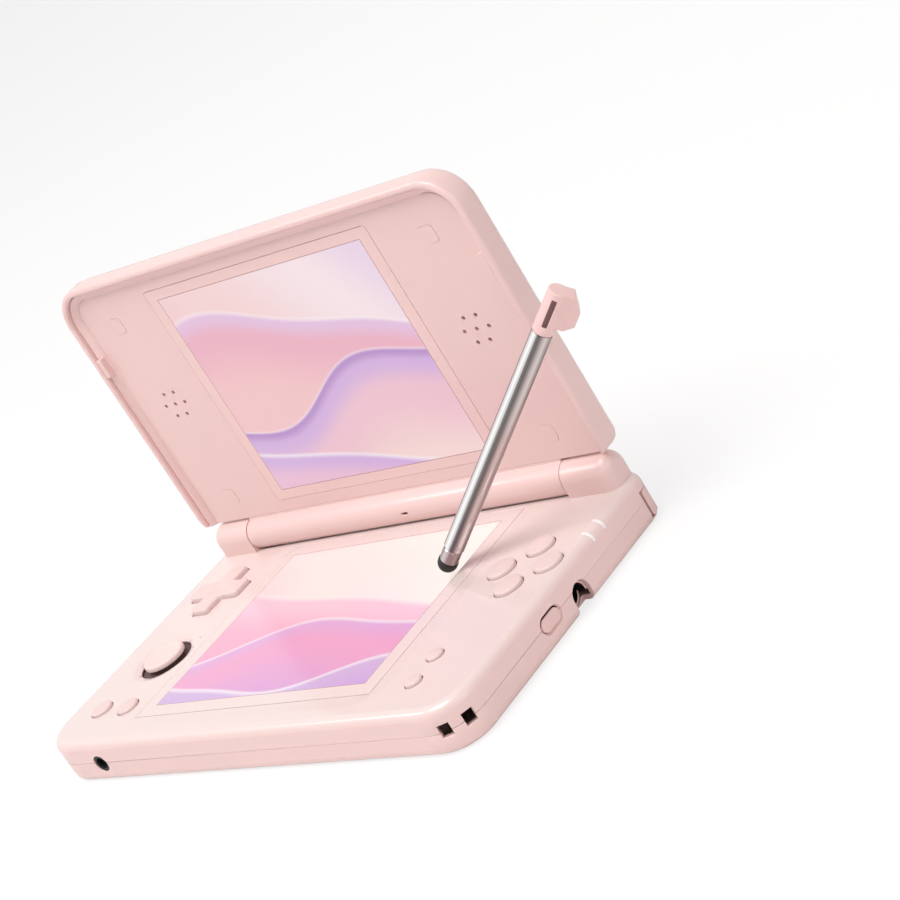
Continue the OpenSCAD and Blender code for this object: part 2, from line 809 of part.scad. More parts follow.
module shoulder_switches() {
    face = half_d - shoulder_y - shoulder_swing + 0.1;
    color(dark) for (s = [-1, 1]) translate([s * (half_w - 9), 0, 0]) {
        translate([-3, face - 4, 4.2]) cube([6, 3.6, board_z - 4.2]);
        translate([-0.8, face - 1, 5]) cube([1.6, 1, 1.6]);
    }
}

module housing_screws() {
    head_r = 1.9;
    color(steel) for (p = boss_at) translate([p[0], p[1], 0]) difference() {
        union() {
            translate([0, 0, 0.3]) cylinder(h = 1.3, r = head_r);
            cylinder(h = split_z + screw_l - 0.6, r = screw_d / 2);
        }
        for (a = [0, 90]) rotate(a) translate([-1.1, -0.25, -overlap]) cube([2.2, 0.5, 1.4]);
    }
}

// ---- hinge ----
pin_in = 11;
clutch_l = 16;
bush_l = 8;
flex_l = 20;
flex_gap = 3;
pin_end = half_w - knuckle_inset - wall - 0.1;
barrel_bore = barrel_r - 1.3;

module hinge_pin_left() {
    color(steel) translate([-pin_end, hinge_y, hinge_z])
        along_x(pin_d / 2, pin_end - barrel_l / 2 + pin_in - 2);
}

module hinge_pin_right() {
    color(steel) translate([barrel_l / 2 - pin_in, hinge_y, hinge_z])
        along_x(pin_d / 2, pin_end - barrel_l / 2 + pin_in);
}

mic_x = 3.5;

// The barrel of the lid, with the neck that carries the lid
module hinge_barrel() {
    neck_low = -4.2;
    color(pink) on_lid() difference() {
        union() {
            translate([-barrel_l / 2, 0, 0]) along_x(barrel_r, barrel_l);
            translate([-barrel_l / 2, 0, neck_low])
                cube([barrel_l, lid_start - 0.02, lid_face_w - neck_low]);
        }
        translate([-half_w, 0, 0]) along_x(barrel_bore, body_w);
        translate([mic_x - 1.2, -0.4, 0]) cube([2.4, 0.8, barrel_r + 1]);
    }
}

module hinge_clutch() {
    color(steel) on_lid() difference() {
        translate([barrel_l / 2 - clutch_l, 0, 0]) along_x(barrel_bore, clutch_l);
        translate([barrel_l / 2 - clutch_l - 1, 0, 0]) along_x(pin_d / 2 + 0.04, clutch_l + 2);
    }
}

module hinge_bush() {
    color(steel) on_lid() difference() {
        translate([-barrel_l / 2, 0, 0]) along_x(barrel_bore, bush_l);
        translate([-barrel_l / 2 - 1, 0, 0]) along_x(pin_d / 2 + 0.05, bush_l + 2);
    }
}

module microphone() {
    color(dark) on_lid() difference() {
        translate([mic_x - 3, 0, 0]) along_x(barrel_bore, 6);
        translate([mic_x, 0, 0]) cylinder(h = barrel_r, r = 0.8);
    }
}

// The ribbon cable of the upper screen, wound once inside the barrel
module display_flex() {
    start = -barrel_l / 2 + pin_in - 2 + flex_gap;
    color("orange") on_lid() difference() {
        translate([start, 0, 0]) along_x(barrel_bore - fit, flex_l);
        translate([start - 1, 0, 0]) along_x(barrel_bore - 1, flex_l + 2);
    }
}

// ---- lid ----
lid_mid_v = (lid_start + lid_l) / 2;
seat_w = body_w - 2 * rim_w;
seat_end = lid_l - rim_w;
bezel_t = 1.2;
seat_low = lid_face_w - bezel_t;
lid_floor = wall - lid_back_w;
lens_w = screen_w + 2 * lens_border + 0.8;
lens_d = screen_h + 2 * lens_border - 0.8;
speaker_at = [59.8, upper_screen_v + 1.1];
speaker_pitch = 4.2;
speaker_hole = 1.2;
pad_at = [[62.3, upper_screen_v + 28.1], [62.3, upper_screen_v - 31]];
pad_size = 5;

// A plate on the lid from v0 to v1, square at the hinge and round at the free edge
module lid_plate(w, v0, v1, low, t, r) {
    translate([0, (v0 + v1) / 2, low]) linear_extrude(t) plan(w, v1 - v0, 0.5, r);
}

module lid_back() {
    color(pink) on_lid() difference() {
        translate([0, lid_mid_v, -lid_back_w])
            slab(body_w, lid_l - lid_start, lid_back_w + lid_face_w + rim_h, 3.5, front_r, lid_edge, 1);
        lid_plate(seat_w, lid_start - 2, seat_end, seat_low, rim_h + 3, front_r - rim_w);
        lid_plate(seat_w - 2, lid_start + wall, seat_end - 1, lid_floor, 5, front_r - rim_w - 1);
    }
}

// The two catches that the closed lid is held by stand on the bezel, against the rim
catch_t = 1.8;
catch_l = 6;
catch_v = upper_screen_v + 14.8;

module lid_bezel() {
    color(pale_pink) on_lid() {
        bezel_plate();
        bezel_lip();
        for (s = [-1, 1]) translate([s * (seat_w / 2 - fit - catch_t / 2) - catch_t / 2, catch_v, 0])
            cube([catch_t, catch_l, lid_face_w + rim_h - 0.3]);
    }
}

// The slope that leads from the bezel's plate up to the rim on its three free sides
module bezel_lip() {
    lip_w = 2.4;
    lip_h = 1.3;
    round_in = front_r - rim_w;
    difference() {
        lid_plate(seat_w - 2 * fit, lid_start, seat_end - fit, lid_face_w - 0.1, lip_h + 0.1, round_in);
        hull() {
            lid_plate(seat_w - 2 * lip_w, -lid_start, seat_end - lip_w, lid_face_w, 0.01, round_in - lip_w);
            lid_plate(seat_w - 1, -lid_start, seat_end - 0.5, lid_face_w + lip_h, overlap, round_in);
        }
        lid_plate(seat_w - 2 * lip_w, -lid_start, seat_end - lip_w, lid_face_w - 1, 1.1, round_in - lip_w);
    }
}

module bezel_plate() {
    difference() {
        lid_plate(seat_w - 2 * fit, lid_start, seat_end - fit, seat_low, bezel_t, front_r - rim_w);
        translate([0, upper_screen_v, lid_face_w - lens_t]) plate(lens_w + 2 * fit, lens_d + 2 * fit, 2, 1);
        translate([0, upper_screen_v, seat_low - 1]) plate(lens_w - 4, lens_d - 4, 3, 1);
        for (s = [-1, 1]) {
            translate([s * speaker_at[0], speaker_at[1], seat_low - overlap]) {
                cylinder(h = 3, d = speaker_hole);
                for (a = [0:60:300]) rotate(a) translate([speaker_pitch, 0, 0])
                    cylinder(h = 3, d = speaker_hole);
            }
            for (p = pad_at) translate([s * p[0], p[1], lid_face_w - 0.5])
                plate(pad_size, pad_size, 1, 1.2);
        }
    }
}

module upper_lens() {
    color(lavender) on_lid() translate([0, upper_screen_v, lid_face_w - lens_t])
        plate(lens_w, lens_d, lens_t, 0.9);
}

module upper_display() {
    top = seat_low;
    color(dark) on_lid() translate([0, upper_screen_v, lid_floor])
        plate(screen_w + 6, screen_h + 4.2, top - lid_floor, 1);
}

module speaker(side) {
    w = 16;
    d = 20;
    color(dark) on_lid() translate([side * speaker_at[0], speaker_at[1], lid_floor]) difference() {
        plate(w, d, seat_low - lid_floor, 2);
        translate([0, 0, 1]) plate(w - 2, d - 2, seat_low - lid_floor, 1);
    }
}

module speaker_left() { speaker(-1); }
module speaker_right() { speaker(1); }

module lid_pads() {
    color(pale_pink) on_lid() for (s = [-1, 1], p = pad_at)
        translate([s * p[0], p[1], lid_face_w - 0.5]) plate(pad_size - 0.1, pad_size - 0.1, 0.6, 1.15);
}

// ---- stylus, drawn upright from the centre of its round tip ----
tip_r = stylus_d / 2 - 0.05;
tip_h = 1;
shaft_in = 36;
sleeve_z = 5.2;
cap_z = stylus_l - tip_r - cap_l;
lobe_turn = 17.6;

module at_stylus() {
    translate([tip_x, tip_y, base_h + 0.3 + tip_r]) rotate([0, stylus_lean, stylus_heading]) children();
}

module stylus_tip() {
    color(dark) at_stylus() {
        difference() {
            sphere(tip_r);
            translate([-tip_r, -tip_r, tip_h / 2]) cube(2 * tip_r);
        }
        cylinder(h = tip_h, r = tip_r);
        cylinder(h = tip_h + 1.6, r = 1.2);
    }
}

module stylus_shaft() {
    color(steel) at_stylus() difference() {
        union() {
            translate([0, 0, tip_h]) cylinder(h = sleeve_z - tip_h, r = tip_r - 0.15);
            translate([0, 0, sleeve_z - overlap]) cylinder(h = shaft_in, r = shaft_d / 2);
        }
        translate([0, 0, tip_h - overlap]) cylinder(h = 1.6 + overlap, r = 1.2);
    }
}

module stylus_sleeve() {
    color(pale_pink) at_stylus() translate([0, 0, sleeve_z]) difference() {
        cylinder(h = cap_z - sleeve_z, r = stylus_d / 2);
        translate([0, 0, -overlap]) cylinder(h = cap_z - sleeve_z + 2 * overlap, r = shaft_d / 2 + 0.03);
    }
}

// The cap, with a thumb lobe on one side and a slot in its face
module stylus_cap() {
    lobe_out = 6.3;
    lobe_w = 4.4;
    lobe_low = 2.5;
    color(pink) at_stylus() rotate(lobe_turn) translate([0, 0, cap_z]) difference() {
        union() {
            cylinder(h = cap_l, r = stylus_d / 2);
            translate([0, 0, -4]) cylinder(h = 4 + overlap, r = shaft_d / 2);
            hull() {
                translate([0, -lobe_w / 2, lobe_low]) cube([lobe_out - 2.4, lobe_w, cap_l - lobe_low]);
                translate([lobe_out - 2, -lobe_w / 2 + 0.4, lobe_low + 1.6]) cube([2, lobe_w - 0.8, 4]);
            }
        }
        translate([-1.2, -stylus_d / 2 - overlap, lobe_low]) cube([1.15, overlap + 0.8, 7.6]);
    }
}

base_upper();
base_lower();
touch_panel();
lower_display();
display_frame();
main_board();
board_shield();
battery();
silo_tube();
headphone_socket();
charge_socket();
card_slot();
power_switch();
volume_switch();
strap_post();
status_lights();
dpad_membrane();
face_membrane();
menu_membrane();
system_membrane();
dpad_post();
slide_socket();
shoulder_pins();
shoulder_switches();
hinge_knuckles();
hinge_pin_left();
hinge_pin_right();
housing_screws();
dpad_pivot();
dpad();
slide_carrier();
slide_pad();
face_button_rear();
face_button_right();
face_button_left();
face_button_front();
start_button();
select_button();
system_button_left();
system_button_right();
power_button();
volume_rocker();
shoulder_left();
shoulder_right();
lid_back();
lid_bezel();
upper_lens();
upper_display();
speaker_left();
speaker_right();
lid_pads();
hinge_barrel();
hinge_clutch();
hinge_bush();
microphone();
display_flex();
stylus_cap();
stylus_sleeve();
stylus_shaft();
stylus_tip();
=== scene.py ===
# %% [markdown]
# # A clamshell handheld game console
# The real object is a thin base and a thin lid on a barrel hinge, moulded in plastic and lacquered in pearl
# pink. The frame that is loaded here holds every piece at its real size. The cells below round its shells
# as a mould does, model the controls and the stylus, and give each piece its finish. Places and main sizes
# are read from the frame, so that the new pieces always sit where the old ones do.

# %% Load the frame
import json
import math

import bmesh
import bpy
from mathutils import Matrix, Vector


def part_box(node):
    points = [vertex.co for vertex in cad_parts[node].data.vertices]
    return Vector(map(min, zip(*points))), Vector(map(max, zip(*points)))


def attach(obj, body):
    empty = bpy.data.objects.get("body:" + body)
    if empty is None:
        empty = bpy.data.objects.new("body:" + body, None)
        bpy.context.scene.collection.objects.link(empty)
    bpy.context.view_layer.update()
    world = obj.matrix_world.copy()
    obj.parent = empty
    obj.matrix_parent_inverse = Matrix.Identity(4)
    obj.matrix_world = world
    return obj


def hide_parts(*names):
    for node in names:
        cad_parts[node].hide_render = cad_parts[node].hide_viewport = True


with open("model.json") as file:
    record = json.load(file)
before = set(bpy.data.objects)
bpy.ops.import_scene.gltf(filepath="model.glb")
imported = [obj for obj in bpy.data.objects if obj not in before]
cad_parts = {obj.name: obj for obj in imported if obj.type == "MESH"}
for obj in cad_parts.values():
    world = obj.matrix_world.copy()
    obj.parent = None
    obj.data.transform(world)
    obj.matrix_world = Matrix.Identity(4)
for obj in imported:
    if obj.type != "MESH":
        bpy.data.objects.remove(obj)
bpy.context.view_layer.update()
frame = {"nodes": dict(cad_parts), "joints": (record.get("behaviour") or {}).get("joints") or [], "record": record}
nodes = frame["nodes"]
mm = 0.001


def corners(node):
    """The lowest and the highest corner of a CAD node at rest."""
    return [Vector(corner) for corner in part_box(node)]


def centre(node):
    """The middle of a CAD node's box, to a hundredth of a millimetre: a faceted disc's box is a hair off."""
    low, high = corners(node)
    return Vector([round(v / mm, 2) * mm for v in (low + high) / 2])


half_w, half_d, base_top = corners("base_upper")[1]
hinge = next(joint for joint in frame["joints"] if joint["name"] == "lid_hinge")
hinge_y, hinge_z = hinge["pos_m"][1:]
print("CAD nodes:", len(nodes))
print("base:", [round(v / mm, 1) for v in (2 * half_w, 2 * half_d, base_top)], "mm")

# %% [markdown]
# ## Camera
# The console is seen from its right front corner, from a little above, with the camera rolled. The three
# directions below say exactly which way the camera's right, up and back point, so no rotation order is
# needed.

# %% Camera
camera_place = Vector((459.9, -342.2, 234.0)) * mm
view_right = Vector((0.6943, 0.5191, -0.4985)).normalized()
view_up = Vector((0.1397, 0.5823, 0.8009)).normalized()
view_back = view_right.cross(view_up).normalized()
sensor_width, focal_length = 36, 95.15
nearest_seen = 10 * mm

camera_data = bpy.data.cameras.new("camera")
camera_data.sensor_width = sensor_width
camera_data.lens = focal_length
camera_data.clip_start = nearest_seen
camera = bpy.data.objects.new("camera", camera_data)
bpy.context.scene.collection.objects.link(camera)
turn = Matrix((view_right, view_up, view_back)).transposed().to_4x4()
camera.matrix_world = Matrix.Translation(camera_place) @ turn
bpy.context.scene.camera = camera
print("camera at", [round(v, 3) for v in camera_place], "m")

# %% [markdown]
# ## Floor
# A pale sheet of paper carries the console and keeps the eye on it. Paper alone would turn grey away from
# the lights, so for the camera a share of it glows white. The rest is still lit as paper is, so the
# console's shadow stays on it, and no light from the glow reaches the console.

# %% Floor
floor_size, floor_drop = 6.0, 0.1 * mm
paper_colour, paper_roughness = (0.86, 0.85, 0.845, 1), 0.9
glow_share, glow_strength = 0.72, 1.05

bpy.ops.mesh.primitive_plane_add(size=floor_size, location=(0, 0, -floor_drop))
floor = bpy.context.object
floor.name = "floor"
paper = bpy.data.materials.new("white_paper")
paper.use_nodes = True
paper_nodes = paper.node_tree.nodes
paper_links = paper.node_tree.links
paper_shader = next(n for n in paper_nodes if n.type == "BSDF_PRINCIPLED")
paper_shader.inputs["Base Color"].default_value = paper_colour
paper_shader.inputs["Roughness"].default_value = paper_roughness
paper_seen = paper_nodes.new("ShaderNodeLightPath")
paper_share = paper_nodes.new("ShaderNodeMath")
paper_share.operation = "MULTIPLY"
paper_share.inputs[1].default_value = glow_share
paper_glow = paper_nodes.new("ShaderNodeEmission")
paper_glow.inputs["Strength"].default_value = glow_strength
paper_mix = paper_nodes.new("ShaderNodeMixShader")
paper_out = next(n for n in paper_nodes if n.type == "OUTPUT_MATERIAL")
paper_links.new(paper_seen.outputs["Is Camera Ray"], paper_share.inputs[0])
paper_links.new(paper_share.outputs[0], paper_mix.inputs[0])
paper_links.new(paper_shader.outputs[0], paper_mix.inputs[1])
paper_links.new(paper_glow.outputs[0], paper_mix.inputs[2])
paper_links.new(paper_mix.outputs[0], paper_out.inputs["Surface"])
floor.data.materials.append(paper)
print("floor:", floor_size, "m wide")

# %% [markdown]
# ## Lights
# A broad key light above the front makes the control surface the brightest face, as a window does. A small
# light from the left draws a bright line along the rounded edges, and a weak one lifts the right wall. Area
# lights are used because a large source gives the soft shadows of a room.

# %% Lights
def add_lamp(name, place, target, size, energy, tint):
    """A square soft light that points at a target."""
    lamp = bpy.data.lights.new(name, "AREA")
    lamp.size = size
    lamp.energy = energy
    lamp.color = tint
    lamp_object = bpy.data.objects.new(name, lamp)
    bpy.context.scene.collection.objects.link(lamp_object)
    aim = (Vector(target) - Vector(place)).to_track_quat("-Z", "Y").to_matrix().to_4x4()
    lamp_object.matrix_world = Matrix.Translation(place) @ aim


add_lamp("key_light", place=(0.0, -0.55, 1.45), target=(0, 0, 0.03), size=0.9, energy=16.9,
         tint=(1.0, 0.99, 0.985))
add_lamp("edge_light", place=(-0.9, -0.55, 1.0), target=(0, 0, 0.03), size=0.35, energy=2.4,
         tint=(1.0, 1.0, 1.0))
add_lamp("fill_light", place=(1.25, -0.12, 0.6), target=(0, 0, 0.04), size=0.8, energy=2.6,
         tint=(1.0, 0.99, 1.0))
bpy.context.scene.view_settings.view_transform = "Standard"

# %% [markdown]
# ## Surround
# The space round the console fills the shadows with a faint warm light. For the camera and for reflections
# it is plain white instead, so the background is clean and the lacquer has something bright to mirror, and
# the pink still isn't washed out.

# %% Surround
ambient_tint, ambient_strength = (1.0, 0.975, 0.97, 1), 0.42

world = bpy.data.worlds.new("surround")
bpy.context.scene.world = world
world.use_nodes = True
world_nodes = world.node_tree.nodes
world_links = world.node_tree.links
world_nodes.clear()
seen = world_nodes.new("ShaderNodeLightPath")
backdrop = world_nodes.new("ShaderNodeBackground")
backdrop.inputs["Color"].default_value = (1, 1, 1, 1)
ambient = world_nodes.new("ShaderNodeBackground")
ambient.inputs["Color"].default_value = ambient_tint
ambient.inputs["Strength"].default_value = ambient_strength
either = world_nodes.new("ShaderNodeMath")
either.operation = "MAXIMUM"
choose = world_nodes.new("ShaderNodeMixShader")
world_out = world_nodes.new("ShaderNodeOutputWorld")
world_links.new(seen.outputs["Is Camera Ray"], either.inputs[0])
world_links.new(seen.outputs["Is Glossy Ray"], either.inputs[1])
world_links.new(either.outputs[0], choose.inputs[0])
world_links.new(ambient.outputs[0], choose.inputs[1])
world_links.new(backdrop.outputs[0], choose.inputs[2])
world_links.new(choose.outputs[0], world_out.inputs["Surface"])
print("surround:", len(world_nodes), "nodes")

# %% [markdown]
# ## Writing a finish
# A finish is a small program: numbers that vary over the surface, such as a grain, feed the shader's
# colour, roughness and normal. Wiring each node by hand takes many lines, so the first class below lets
# those numbers be written as plain sums and products, and each operator adds the Math node that does it.

# %% Shader maths
class Wire:
    """One output of a node, which can be added, multiplied and compared like a number."""

    def __init__(self, finish, socket):
        self.finish = finish
        self.socket = socket

    def maths(self, operation, *values):
        return self.finish.node("ShaderNodeMath", {"operation": operation}, dict(enumerate(values)))

    def __add__(self, other):
        return self.maths("ADD", self, other)

    def __radd__(self, other):
        return self.maths("ADD", other, self)

    def __sub__(self, other):
        return self.maths("SUBTRACT", self, other)

    def __rsub__(self, other):
        return self.maths("SUBTRACT", other, self)

    def __mul__(self, other):
        return self.maths("MULTIPLY", self, other)

    def __gt__(self, other):
        return self.maths("GREATER_THAN", self, other)

    def size(self):
        return self.maths("ABSOLUTE", self)

    def root(self):
        return self.maths("SQRT", self)

    def wave(self):
        return self.maths("SINE", self)

    def at_least(self, other):
        return self.maths("MAXIMUM", self, other)

    def at_most(self, other):
        return self.maths("MINIMUM", self, other)

    def clamped(self):
        return self.at_least(0.0).at_most(1.0)


def shade(code):
    """A colour written as a web code, turned into the linear numbers that a shader takes."""
    parts = [int(code[i:i + 2], 16) / 255 for i in (0, 2, 4)]
    return tuple(p / 12.92 if p <= 0.04045 else ((p + 0.055) / 1.055) ** 2.4 for p in parts)


print("mid grey in linear numbers:", [round(c, 3) for c in shade("808080")])

# %% [markdown]
# The second class is the material itself. It keeps the shader that all finishes share, and each method adds
# the nodes for one thing that a surface does: vary with its place, carry a grain, or tilt its normal.
# Places are the piece's own coordinates, so that a pattern moves with the piece.

# %% A finish
class Finish:
    """A material, and the methods that add nodes to it."""

    coat_roughness = 0.12

    def __init__(self, name, code, roughness, metallic=0.0, coat=0.0):
        self.code = code
        self.roughness = roughness
        self.material = bpy.data.materials.new(name)
        self.material.use_nodes = True
        self.tree = self.material.node_tree
        self.shader = next(n for n in self.tree.nodes if n.type == "BSDF_PRINCIPLED")
        self.set("Base Color", (*shade(code), 1))
        self.set("Roughness", roughness)
        self.set("Metallic", metallic)
        self.set("Coat Weight", coat)
        self.set("Coat Roughness", self.coat_roughness)

    def fill(self, socket, value):
        """Gives a socket a value, or links a wire to it."""
        if isinstance(value, Wire):
            self.tree.links.new(value.socket, socket)
        else:
            socket.default_value = value

    def set(self, name, value):
        """Fills a socket of the shader."""
        self.fill(self.shader.inputs[name], value)

    def node(self, kind, settings=None, values=None, output=0):
        """Adds a node: its settings first, then the values or wires of its sockets."""
        made = self.tree.nodes.new(kind)
        for key, value in (settings or {}).items():
            setattr(made, key, value)
        for key, value in (values or {}).items():
            self.fill(made.inputs[key], value)
        return Wire(self, made.outputs[output])

    def place(self, scale=(1, 1, 1)):
        """The piece's own coordinates in metres, scaled."""
        spot = self.node("ShaderNodeTexCoord", output="Object")
        return self.node("ShaderNodeMapping", {}, {"Vector": spot, "Scale": scale})

    def axes(self, place):
        """The X, Y and Z of a place as three wires."""
        split = self.node("ShaderNodeSeparateXYZ", {}, {0: place})
        return [Wire(self, output) for output in split.socket.node.outputs]

    def noise(self, scale, detail, place=None):
        """A cloudy pattern, over the piece's own coordinates or over a place."""
        values = {"Vector": place or self.place(), "Scale": scale, "Detail": detail}
        return self.node("ShaderNodeTexNoise", {}, values)

    def ramp(self, wire, stops):
        """Turns a number into a colour, by stops of (number, code) that ease into each other."""
        made = self.node("ShaderNodeValToRGB", {}, {"Fac": wire})
        ramp = made.socket.node.color_ramp
        ramp.interpolation = "EASE"
        ramp.elements.remove(ramp.elements[-1])
        ramp.elements[0].position = stops[0][0]
        ramp.elements[0].color = (*shade(stops[0][1]), 1)
        for number, code in stops[1:]:
            ramp.elements.new(number).color = (*shade(code), 1)
        return made

    def blend(self, mask, first, second):
        """Mixes two colours: the first where the mask is 0, the second where it is 1."""
        first, second = (c if isinstance(c, Wire) else (*c, 1) for c in (first, second))
        return self.node("ShaderNodeMix", {"data_type": "RGBA"}, {0: mask, 6: first, 7: second}, output=2)

    def bump(self, height, depth, strength=1.0):
        """Lets a height that varies over the surface tilt its normal."""
        self.set("Normal", self.node("ShaderNodeBump", {}, {"Height": height, "Distance": depth,
                                                            "Strength": strength}))

    def grained(self, tone, grain, darkest, spread, depth, strength):
        """Lets a tone darken the finish here and there, and a grain vary its roughness and its normal."""
        darker = tuple(c * darkest for c in shade(self.code))
        self.set("Base Color", self.blend(tone, darker, shade(self.code)))
        self.set("Roughness", self.roughness - spread / 2 + grain * spread)
        self.bump(grain, depth, strength)
        return self


print("coat roughness of every finish:", Finish.coat_roughness)

# %% [markdown]
# ## Finishes
# The shells wear a satin lacquer over pink plastic: it has a soft sheen, a hint of orange peel and a slow
# drift in tone. The controls are bare plastic, a little duller. Inside there are solder mask, steel, black
# mouldings and silicone rubber. Each gets a grain of the right scale, from a fraction of a millimetre on
# plastic to long streaks on brushed steel.

# %% Finishes of the shells and controls
def lacquer(name, code, roughness, coat):
    """Satin lacquer: a slow drift in tone, and a hint of orange peel."""
    made = Finish(name, code, roughness, coat=coat)
    drift, peel = made.noise(22.0, 2.0), made.noise(2600.0, 2.0)
    return made.grained(drift, peel, darkest=0.94, spread=0.08, depth=0.02 * mm, strength=0.2)


def plastic(name, code, roughness, grain_scale=1800.0, depth=0.03 * mm):
    """Bare plastic or rubber: an even grain."""
    made = Finish(name, code, roughness)
    grain = made.noise(grain_scale, 3.0)
    return made.grained(grain, grain, darkest=0.92, spread=0.1, depth=depth, strength=0.3)


def metal(name, code, roughness, streak=(1, 1, 1)):
    """Bare metal: a grain that can be drawn out into streaks."""
    made = Finish(name, code, roughness, metallic=1.0)
    brush = made.noise(900.0, 4.0, made.place(streak))
    return made.grained(brush, brush, darkest=0.82, spread=0.16, depth=0.01 * mm, strength=0.3)


# The deck's code is the shell's pink made paler and greyer, a painted sheen; the touch screen's border takes it
# too.
shell_code, deck_painted_sheen_code, trim_code = "EECCC8", "E6D4D0", "EEC8C4"
finishes = {
    "housing": lacquer("pearl_pink_lacquer", shell_code, 0.36, 0.45),
    "trim": lacquer("pink_trim_lacquer", trim_code, 0.38, 0.2),
    "control": plastic("pink_control_plastic", "E9D1CD", 0.4),
    "soft": plastic("pale_silicone", "EFDAD5", 0.5, 1200.0),
    "steel": metal("plain_steel", "C2C0BE", 0.34, streak=(1, 12, 1)),
    "pin_steel": metal("polished_steel", "D6D4D2", 0.16),
    "board": plastic("green_solder_mask", "1F6B45", 0.35, 700.0, 0.05 * mm),
    "black": plastic("black_moulding", "1A1A1B", 0.5),
    # the skirt's dark brown-pink is painted shade for the gap round the slide pad
    "skirt": plastic("skirt_painted_shade", "5E4344", 0.6),
    "tip_rubber": plastic("black_rubber", "161515", 0.6, 1500.0, 0.05 * mm),
    "light": plastic("white_light_guide", "F8F0EF", 0.25),
    "cell": plastic("grey_cell_wrap", "4A4E55", 0.4, 300.0),
}
guide_glow = 0.05
finishes["light"].set("Emission Color", (1, 1, 1, 1))
finishes["light"].set("Emission Strength", guide_glow)
print("finishes:", len(finishes))

# %% [markdown]
# ## Stylus silo
# The silo is a tube of pink plastic in the right wall, so deep in shade inside that it looks black. Light that
# bounces in a narrow pink tube would leave it rosy, so its finish paints the shade on: every point that lies
# within the bore is coloured near black.

# %% Finish of the stylus silo
silo_painted_shade_radius, silo_painted_shade_code = 2.9 * mm, "1C1616"


def silo_finish(name):
    """The shell's lacquer on the rim of the silo, and painted shade, near black, inside its bore."""
    made = lacquer(name, shell_code, 0.4, 0.1)
    _, along, height = made.axes(made.place())
    along, height = along - centre("silo_tube").y, height - centre("silo_tube").z
    # painted shade: every point within the bore is coloured near black
    inside = 1 - (along * along + height * height > silo_painted_shade_radius ** 2)
    made.set("Base Color", made.blend(inside, shade(shell_code), shade(silo_painted_shade_code)))
    return made


finishes["silo"] = silo_finish("silo_lacquer_painted_shade")
print("silo axis at height", round(centre("silo_tube").z / mm, 2), "mm")

# %% [markdown]
# ## The two screens
# Each screen is dark glass over a lit panel, with a border that is printed in the pink of the shell; the touch
# screen's border takes the deck's paler pink, a painted sheen. One finish does it all: distances from the middle
# of the lit area give a mask for the picture, a thin dark line round it, and the printed border. The picture is a
# plain one of soft dunes, drawn by sine waves: each dune is a band that starts with a pale crest and deepens below
# it.

# %% Finish of a lit screen
lit_half = (40.5 * mm, 31.9 * mm)
line_width, line_code = 0.22 * mm, "B98F92"
glass_colour, lit_strength = (0.012, 0.010, 0.014), 0.92
sky_slant, sky_spread = 0.6, 0.32
ripple_rate, ripple_phase, ripple_rise = 2.3, 2, 0.25
dune_depth = 0.7


def dune(u, v, rate, phase, rise, level, softness):
    """How far below a wavy crest a point lies, and a mask that is 1 below the crest."""
    swell = (u * rate + phase).wave() * rise
    ripple = (u * (rate * ripple_rate) + phase * ripple_phase).wave() * (rise * ripple_rise)
    below = swell + ripple + level - v
    return below, (below * (1 / softness)).clamped()


def screen_finish(name, node, plane, border_code, dunes, sky):
    """Printed border, thin line and lit picture, on the two axes of a screen's plane."""
    made = Finish(name, border_code, 0.24, coat=0.2)
    axes = made.axes(made.place())
    across, up = (axes[axis] - centre(node)[axis] for axis in plane)
    u, v = across * (1 / lit_half[0]), up * (1 / lit_half[1])
    picture = made.ramp((v * sky_slant + u) * sky_spread + 0.5, sky)
    for crest, stops in dunes:
        below, mask = dune(u, v, *crest)
        picture = made.blend(mask, picture, made.ramp((below * dune_depth).clamped(), stops))
    outside = (across.size() - lit_half[0]).at_least(up.size() - lit_half[1])
    unlit = outside > 0.0
    line = unlit * (1 - (outside > line_width))
    border = made.blend(line, shade(border_code), shade(line_code))
    made.set("Base Color", made.blend(1 - unlit, border, glass_colour))
    made.set("Emission Color", made.blend(1 - unlit, (0, 0, 0), picture))
    made.set("Emission Strength", lit_strength)
    return made


print("lit area:", [round(2 * h / mm, 1) for h in lit_half], "mm")

# %% [markdown]
# Each dune is written as the rate, phase, rise, level and softness of its crest, and the colours below it.
# The picture's own unit is half of the lit width or height, so a level of 0 is the middle of the screen.

# %% Pictures of the two screens
pale, lilac, violet = "FBF3F4", "D2AEDD", "B78CC8"
upper_dunes = [
    ((1.5, 2.4, 0.34, 0.42, 0.05), [(0.0, pale), (0.05, "E3BEDD"), (0.18, "EBAFC0"), (0.6, "F2C2C4")]),
    ((1.9, 0.2, 0.26, -0.16, 0.03), [(0.0, pale), (0.03, violet), (0.1, lilac), (0.28, "EDC0CD"),
                                     (0.8, "F5D8D3")]),
    ((1.3, 4.0, 0.30, -0.66, 0.03), [(0.0, pale), (0.05, lilac), (0.2, "E9BCD2"), (0.6, "F0C4CC")]),
]
lower_dunes = [
    ((1.2, 3.4, 0.30, 0.30, 0.06), [(0.0, "FFF0EC"), (0.08, "FBC8D8"), (0.4, "FBAAC5"), (1.0, "F59DC2")]),
    ((1.7, 1.2, 0.24, -0.30, 0.03), [(0.0, pale), (0.05, "E2A6D6"), (0.2, "EF9FC8"), (0.8, "D99BD6")]),
    ((2.1, 5.0, 0.16, -0.78, 0.03), [(0.0, pale), (0.06, lilac), (0.3, "CFA2E2"), (1.0, "DDBFEE")]),
]
upper_sky = [(0.0, "EFB8C4"), (0.5, "F4D2D2"), (0.8, "F5E2E6"), (1.0, "E9D2E6")]
lower_sky = [(0.0, "FBC4D2"), (0.5, "FEE9E4"), (1.0, "FDF6EE")]
finishes["screen"] = screen_finish("upper_screen", "upper_lens", (0, 2), shell_code, upper_dunes, upper_sky)
finishes["panel"] = screen_finish("touch_screen", "touch_panel", (0, 1), deck_painted_sheen_code, lower_dunes, lower_sky)
print("dunes:", len(upper_dunes) + len(lower_dunes))
